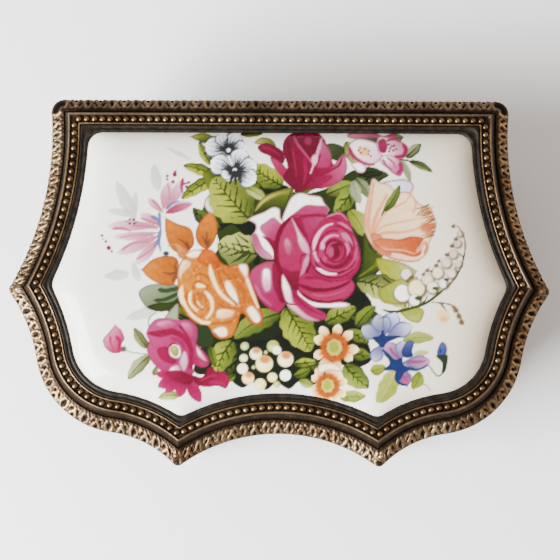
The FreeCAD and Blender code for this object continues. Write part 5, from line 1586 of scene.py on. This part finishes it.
def fired(color):
    """Base colour that renders as a wanted 0-255 colour.

    The view transform and the light wash colours out, so the base is deeper and stronger, and the
    pinks and oranges most of all.  The factors were set by comparing averages.
    """
    c = np.clip(np.asarray(color, float), 0, 255) / 255 * 0.94
    c = np.where(c <= 0.04045, c / 12.92, ((c + 0.055) / 1.055) ** 2.4)
    pink = np.clip(np.minimum(c[..., 0], c[..., 2]) - c[..., 1], 0, 0.24)[..., None]
    orange = np.clip(c[..., 0] - c[..., 1], 0, 1)[..., None]
    c = c * (1 - pink * np.array([1.5, 3.8, 1.7])) * (1 - orange * np.array([0.0, 0.0, 0.4]))
    grey = (c @ np.array([0.3, 0.5, 0.2]))[..., None]
    strong = np.maximum(grey + (c - grey) * 1.15, 0.001)
    return np.clip(0.285 * strong / (1 - 0.95 * np.clip(grey + (strong - grey) * 0.4, 0, 1)), 0.0005, 0.86)


# ---------------------------------------------------------------- plaque
PLAQUE_EDGE = 7.12
PLAQUE_CELL = 0.22
SKIN_REACH = 3.0
PLAQUE_EDGE_HEIGHT = 3.3
PILLOW_HEIGHT = 4.2
CROWN_HEIGHT = 0.6
PLAQUE_LOW = node_mm("porcelain_plaque")[0][2]
SKIN_PASSES = ((4, 400), (1, 260))        # grid step and rounds of averaging
CROWN_SPREAD = (42.0, 28.0)
CROWN_Y = 3.0
EDGE_SPACING = 0.06
EDGE_CORNER_STEPS = 60
KEEP_SHARE, SNAP_SHARE = 0.55, 0.45        # of a cell: kept outside the edge, and moved onto it inside
# The bouquet is laid out on a flat sheet at PAINTING_HEIGHT as it looks from VIEW_FROM, where the
# camera stands, and is carried to the dome along lines from there.  The colours are then fixed to
# the surface.
VIEW_FROM = (0.0, -59.3, 392.0)
PAINTING_HEIGHT = 40.3


def plaque_height(free, x, y):
    """Height of the porcelain over the grid: a stretched skin held at its edge, with a slight crown.

    free marks the grid points inside the edge; the skin is found by averaging neighbours, first on
    a coarse grid and then on the fine one.
    """
    pull = (SKIN_REACH / PLAQUE_CELL) ** 2
    skin = np.zeros(free.shape)
    for coarse, rounds in SKIN_PASSES:
        mask = free[::coarse, ::coarse]
        force = coarse ** 2 / pull
        level = skin[::coarse, ::coarse].copy()
        for step in range(rounds):
            around = np.zeros_like(level)
            around[1:-1, 1:-1] = level[2:, 1:-1] + level[:-2, 1:-1] + level[1:-1, 2:] + level[1:-1, :-2]
            level = np.where(mask, (around + force) / (4 + force), 0)
        rows = np.minimum(np.arange(free.shape[0]) / coarse, level.shape[0] - 1)
        columns = np.minimum(np.arange(free.shape[1]) / coarse, level.shape[1] - 1)
        r0, c0 = rows.astype(int), columns.astype(int)
        r1, c1 = np.minimum(r0 + 1, level.shape[0] - 1), np.minimum(c0 + 1, level.shape[1] - 1)
        fr, fc = (rows - r0)[:, None], (columns - c0)[None, :]
        skin = ((level[np.ix_(r0, c0)] * (1 - fc) + level[np.ix_(r0, c1)] * fc) * (1 - fr)
                + (level[np.ix_(r1, c0)] * (1 - fc) + level[np.ix_(r1, c1)] * fc) * fr)
    spread = np.clip(1 - (x / CROWN_SPREAD[0]) ** 2 - ((y - CROWN_Y) / CROWN_SPREAD[1]) ** 2, 0, 1)
    return LID_Z + PLAQUE_EDGE_HEIGHT + PILLOW_HEIGHT * skin + CROWN_HEIGHT * spread ** 1.5


def distance_to_loop(x, y, line):
    """Distance to the nearest point of a closed line, positive inside, and that point's number."""
    tree = KDTree(len(line))
    for i, (px, py) in enumerate(line):
        tree.insert((px, py, 0), i)
    tree.balance()
    near = np.empty(len(x))
    which = np.empty(len(x), int)
    for i in range(len(x)):
        found = tree.find((x[i], y[i], 0))
        which[i], near[i] = found[1:]
    ahead = np.roll(line, -1, 0) - np.roll(line, 1, 0)
    away = np.stack([x, y], 1) - line[which]
    cross = ahead[which, 0] * away[:, 1] - ahead[which, 1] * away[:, 0]
    return np.where(cross < 0, near, -near), which


def plaque(material):
    """Domed porcelain on a square grid whose rim is snapped to the outline, with its painting."""
    counts = loop_counts(EDGE_SPACING, PLAQUE_EDGE)
    for corner in CORNER_RUNS:
        counts[corner] = EDGE_CORNER_STEPS
    line = loop(PLAQUE_EDGE, counts, PLAQUE_CORNERS)
    low, high = line.min(0), line.max(0)
    nx = round((high[0] - low[0]) / PLAQUE_CELL) + 1
    ny = round((high[1] - low[1]) / PLAQUE_CELL) + 1
    gx, gy = np.meshgrid(np.linspace(low[0], high[0], nx), np.linspace(low[1], high[1], ny), indexing="ij")
    x, y = gx.ravel(), gy.ravel()
    gap, which = distance_to_loop(x, y, line)
    keep = gap > -KEEP_SHARE * PLAQUE_CELL
    snap = keep & (gap < SNAP_SHARE * PLAQUE_CELL)
    x = np.where(snap, line[which, 0], x)
    y = np.where(snap, line[which, 1], y)
    grid = (nx, ny)
    z = plaque_height((keep & ~snap).reshape(grid), x.reshape(grid), y.reshape(grid)).ravel()
    index = np.arange(nx * ny).reshape(nx, ny)
    quads = np.stack([index[:-1, :-1], index[1:, :-1], index[1:, 1:], index[:-1, 1:]], -1).reshape(-1, 4)
    inside = keep[quads].sum(1)
    faces = quads[inside == 4].tolist()
    for quad in quads[inside == 3]:
        faces.append([int(i) for i in quad if keep[i]])
    used = np.unique(np.concatenate([np.array(f) for f in faces]))
    renumber = np.full(nx * ny, -1)
    renumber[used] = np.arange(len(used))
    faces = [[int(renumber[i]) for i in f] for f in faces]
    points = np.stack([x, y, z], 1)[used]
    piece = new_mesh("porcelain_dome", points, faces)
    close_below(piece, PLAQUE_LOW)
    from_x, from_y, from_z = VIEW_FROM
    fall = (from_z - PAINTING_HEIGHT) / (from_z - points[:, 2])
    colors = paint_plaque(from_x + (points[:, 0] - from_x) * fall, from_y + (points[:, 1] - from_y) * fall)
    count = len(piece.data.vertices)
    full = np.tile(fired(PORCELAIN), (count, 1))
    full[:len(points)] = colors
    layer = piece.data.color_attributes.new("paint", "FLOAT_COLOR", "POINT")
    layer.data.foreach_set("color", np.concatenate([full, np.ones((count, 1))],
                                                   1).astype(np.float32).ravel())
    return add(piece, "lid", "porcelain", material, "porcelain_plaque")


def close_below(piece, z):
    """Skirt from the open rim down to z, and a flat underside."""
    bm = bmesh.new()
    bm.from_mesh(piece.data)
    rim = [e for e in bm.edges if len(e.link_faces) == 1]
    made = bmesh.ops.extrude_edge_only(bm, edges=rim)["geom"]
    for part in made:
        if isinstance(part, bmesh.types.BMVert):
            part.co.z = z * MM
    lower = [part for part in made if isinstance(part, bmesh.types.BMEdge) and len(part.link_faces) == 1]
    bmesh.ops.contextual_create(bm, geom=lower)
    bmesh.ops.recalc_face_normals(bm, faces=bm.faces)
    bm.to_mesh(piece.data)
    bm.free()


# ---------------------------------------------------------------- box
WALL_OUT = 4.2
WALL_IN = 5.6
WALL_LOW = node_mm("body_shell")[0][2]
WALL_HIGH = node_mm("body_shell")[1][2]
SCROLL_UNIT = 11.6
FINE_UNIT = 1.9
HINGE_PLATE = (29.0, 18.6)        # half width, and height above the wall's foot, left plain for the leaf


def wall_relief(place, total, run, across):
    """Frieze of scrolls and palmettes between a gadrooned foot band and a beaded top band."""
    x = np.abs(repeats(place, total, SCROLL_UNIT))
    y = across
    half = SCROLL_UNIT / 2
    fine = repeats(place, total, FINE_UNIT)
    gadroon = (0, 1.5, 0.88, 1.2, 0.42)
    bead = (0, 23.3, 0.72, 0.8, 0.42)
    ridges = [([(0, level), (half, level)], width, height)
              for level, width, height in ((3.3, 0.32, 0.34), (21.6, 0.32, 0.34), (25.1, 0.36, 0.3))]
    ridges += [(curl(3.3, 8.4, 2.3, 0.5, 150, 560, 26), 0.52, 0.52, 0.55),
               (curl(3.2, 16.3, 2.1, 0.5, 200, -560, 26), 0.5, 0.5, 0.55),
               ([(1.3, 9.4), (2.2, 12.2), (1.3, 15.4)], 0.5, 0.48, 0.9)]
    for tip_x, tip_y in ((0.0, 9.6), (0.95, 8.6), (1.6, 7.0), (1.9, 5.2)):
        ridges.append(([(0.1, 4.3), (tip_x * 0.6, (4.3 + tip_y) / 2), (tip_x, tip_y)], 0.5, 0.5, 0.6))
    for tip_x, tip_y in ((0.0, 20.4), (0.9, 19.9), (1.5, 18.8)):
        ridges.append(([(0.1, 15.2), (tip_x * 0.7, 17.6), (tip_x, tip_y)], 0.42, 0.44, 0.7))
    for step in range(4):
        leaf_y = 5.6 + step * 3.7
        leaf = [(half, leaf_y), (half - 0.75, leaf_y + 1.3), (half - 0.2, leaf_y + 2.7)]
        ridges.append((leaf, 0.42, 0.42, 0.6))
    domes = [(0, 12.4, 0.5, 0.5, 0.62)]
    for turn in range(0, 360, 60):
        petal_x, petal_y = 1.0 * math.sin(math.radians(turn)), 12.4 + 1.0 * math.cos(math.radians(turn))
        domes.append((petal_x, petal_y, 0.56, 0.56, 0.5))
    h = np.maximum(raised(x, y, ridges, domes), raised(fine, y, (), (gadroon, bead)))
    h = h + 0.02 * np.sin(place * 2.2 + across * 1.7) + 0.015 * np.sin(place * 5.1 - across * 3.0)
    plate_half, plate_low = HINGE_PLATE
    under_hinge = (run == 0) & (np.abs(place - total / 2) < plate_half) & (across > plate_low)
    return np.where(under_hinge, -0.02, h - 0.03)


def box_wall(material):
    """Pressed brass wall with the frieze standing out from it."""
    face = dense([(WALL_OUT, WALL_LOW + 0.01), (WALL_OUT, WALL_HIGH - 0.01)], 0.36)
    rest = [(WALL_IN, WALL_HIGH), (WALL_IN, WALL_LOW)]
    piece = sweep("box_wall", face, rest, 0.36, wall_relief)
    return add(piece, "box", "antique_brass", material, "body_shell")


# ---------------------------------------------------------------- velvet
LINING_OUT = WALL_IN + 0.05
LINING_THICK = 0.6
LINING_LOW, LINING_HIGH = (node_mm("wall_lining")[k][2] for k in (0, 1))


def wall_lining(material):
    """Velvet drawn tight round the inside of the wall, with a rolled top edge."""
    out, mid, inside = LINING_OUT, LINING_OUT + LINING_THICK / 2, LINING_OUT + LINING_THICK
    low, high = LINING_LOW, LINING_HIGH
    face = dense([(out, high - 0.5), (out + 0.1, high - 0.12), (mid, high), (inside - 0.1, high - 0.12),
                  (inside, high - 0.5)], 0.15)
    face += dense([(inside, high - 0.6), (inside, low)], 0.9)
    rest = [(out, low)]

    def relief(place, total, run, across):
        slack = 0.07 * np.sin(place * 0.55 + run) * np.sin(across * 0.24)
        slack = slack + 0.03 * np.sin(place * 1.9 + across * 0.5)
        return np.where(across > 1.4, slack - 0.06, 0)

    piece = sweep("wall_velvet", face, rest, 0.8, relief)
    add(piece, "box", "velvet", material, "wall_lining")
    line = loop(mid, loop_counts(0.5, mid))
    return piece


PAD_SCALE = 10.0
PAD_CORNERS = (2.6, 1.6, 1.6)
PAD_VOXEL = 0.9
PAD_FRAMES = 20
PAD_PRESSURE = 4.0
PAD_SPACING = 1.2


def settled(piece):
    """The piece's mesh as its modifiers leave it."""
    graph = bpy.context.evaluated_depsgraph_get()
    return bpy.data.meshes.new_from_object(piece.evaluated_get(graph))


def pad(name, node, body, edge, levels, swell, material):
    """Velvet pad: a flat case of the right outline, blown up by a cloth simulation.

    The simulation runs at PAD_SCALE times the size. No point moves further than swell, and the
    pad keeps inside the height of its CAD solid.
    """
    inset = edge + swell
    line = loop(inset, loop_counts(PAD_SPACING, inset), PAD_CORNERS)
    count = len(line)
    points = [(x * PAD_SCALE, y * PAD_SCALE, z * PAD_SCALE) for z in levels for x, y in line]
    faces = [tuple(range(count)), tuple(range(2 * count - 1, count - 1, -1))]
    faces += [(i, i + count, (i + 1) % count + count, (i + 1) % count) for i in range(count)]
    piece = new_mesh(name, points, faces)
    skin = piece.modifiers.new("skin", "REMESH")
    skin.mode = "VOXEL"
    skin.voxel_size = PAD_VOXEL * MM * PAD_SCALE
    skin.use_smooth_shade = True
    piece.data = settled(piece)
    piece.modifiers.clear()
    start = coordinates(piece.data)
    end = start
    cloth = piece.modifiers.new("cloth", "CLOTH")
    cloth.settings.use_pressure = True
    cloth.settings.uniform_pressure_force = PAD_PRESSURE
    cloth.settings.effector_weights.gravity = 0.0
    cloth.point_cache.frame_end = PAD_FRAMES
    scene = bpy.context.scene
    for frame_number in range(1, PAD_FRAMES + 1):
        scene.frame_set(frame_number)
    end = coordinates(settled(piece))
    piece.modifiers.clear()
    scene.frame_set(1)
    move = end - start
    far = np.maximum(np.linalg.norm(move, axis=1), 1e-9)
    moved = start + move * np.minimum(1, swell * MM * PAD_SCALE / far)[:, None]
    moved /= PAD_SCALE
    lowest, highest = (node_mm(node)[k][2] * MM for k in (0, 1))
    moved[:, 2] = np.clip(moved[:, 2], lowest, highest)
    piece.data.vertices.foreach_set("co", moved.astype(np.float32).ravel())
    piece.data.update()
    fine = piece.modifiers.new("fine", "SUBSURF")
    fine.levels = 1
    fine.render_levels = 1
    add(piece, body, "velvet", material, node)
    return piece


def linings(material):
    wall_lining(material)
    low = node_mm("floor_pad")[0][2]
    pad("floor_velvet", "floor_pad", "box", 6.45, (low, low + 1.9), 0.85, material)
    high = node_mm("lid_lining")[1][2]
    pad("lid_velvet", "lid_lining", "lid", 6.6, (high - 1.3, high), 0.6, material)


# ---------------------------------------------------------------- stage, camera and lights
FLOOR_HALF = 1500.0


def stage(material):
    size = FLOOR_HALF
    points = [(-size, -size, 0), (size, -size, 0), (size, size, 0), (-size, size, 0)]
    floor = new_mesh("floor", points, [(0, 1, 2, 3)], smooth=False)
    floor.data.materials.append(material)


CAMERA_PLACE = Vector([c * MM for c in VIEW_FROM])
CAMERA_AIM = Vector((0.00014, -0.00101, 0.040))
CAMERA_ROLL = 0.0072
CAMERA_LENS = 114.7


def camera():
    data = bpy.data.cameras.new("camera")
    data.lens = CAMERA_LENS
    data.sensor_width = 36.0
    data.clip_start = 0.01
    data.clip_end = 20.0
    holder = bpy.data.objects.new("camera", data)
    bpy.context.scene.collection.objects.link(holder)
    ahead = (CAMERA_AIM - CAMERA_PLACE).normalized()
    right = ahead.cross(Vector((0, 0, 1))).normalized()
    up = right.cross(ahead)
    c, s = math.cos(CAMERA_ROLL), math.sin(CAMERA_ROLL)
    right, up = right * c + up * s, up * c - right * s
    turn = Matrix((right, up, -ahead)).transposed().to_4x4()
    holder.matrix_world = Matrix.Translation(CAMERA_PLACE) @ turn
    bpy.context.scene.camera = holder


def area_light(name, place, aim, size, power, color):
    data = bpy.data.lights.new(name, "AREA")
    data.shape = "RECTANGLE"
    data.size, data.size_y = size
    data.energy = power
    data.color = color
    holder = bpy.data.objects.new(name, data)
    holder.location = place
    holder.rotation_euler = (Vector(aim) - Vector(place)).to_track_quat("-Z", "Y").to_euler()
    bpy.context.scene.collection.objects.link(holder)


def lights():
    middle = (0.0, 0.0, 0.035)
    area_light("key", (-0.4, -0.2, 0.32), middle, (0.36, 0.36), 18.0, (0.98, 0.99, 1.0))
    area_light("warm", (0.7, 0.0, 0.4), middle, (0.4, 0.4), 1.8, (1.0, 0.6, 0.34))
    world = bpy.data.worlds.new("world")
    world.use_nodes = True
    background = world.node_tree.nodes["Background"]
    background.inputs[0].default_value = (0.95, 0.94, 0.93, 1)
    background.inputs[1].default_value = 0.72
    bpy.context.scene.world = world


# ---------------------------------------------------------------- everything
BRASS_MOULDINGS = ("body_rim", "base_moulding", "foot_back_left", "foot_back_right", "foot_front_left",
                   "foot_front_right")
BRASS_SHEETS = ("hinge_body_leaf", "hinge_lid_leaf", "body_hinge_rivets", "lid_hinge_rivets", "base_plate",
                "lid_back_plate")
STEEL_PARTS = ("foot_screws", "hinge_pin", "lid_plate_screws")


def main():
    brass = antique_brass("antique_brass")
    worn = worn_and_shaded_brass("antique_brass_plain")
    plain = plain_brass()
    metal_steel = steel()
    cloth = velvet()
    leaf_band(brass)
    bead_rail(brass)
    beads(antique_brass("antique_brass_beads", polish=0.14))
    rosettes(brass)
    bezel(dark_bezel())
    plaque(porcelain())
    box_wall(antique_brass("antique_brass_wall", recess=-0.2, crest=0.85, polish=0.36))
    linings(cloth)
    # the cove of the lid frame is darkened by 0.6 of painted shade
    for material, names in ((worn_and_shaded_brass("antique_brass_cove", 0.6), ("lid_frame",)), (worn, BRASS_MOULDINGS),
                            (plain, BRASS_SHEETS), (metal_steel, STEEL_PARTS),
                            (card(), ("plaque_backing",))):
        for name in names:
            wear_materials(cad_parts[name], material)
    stage(stage_material())
    camera()
    lights()


main()
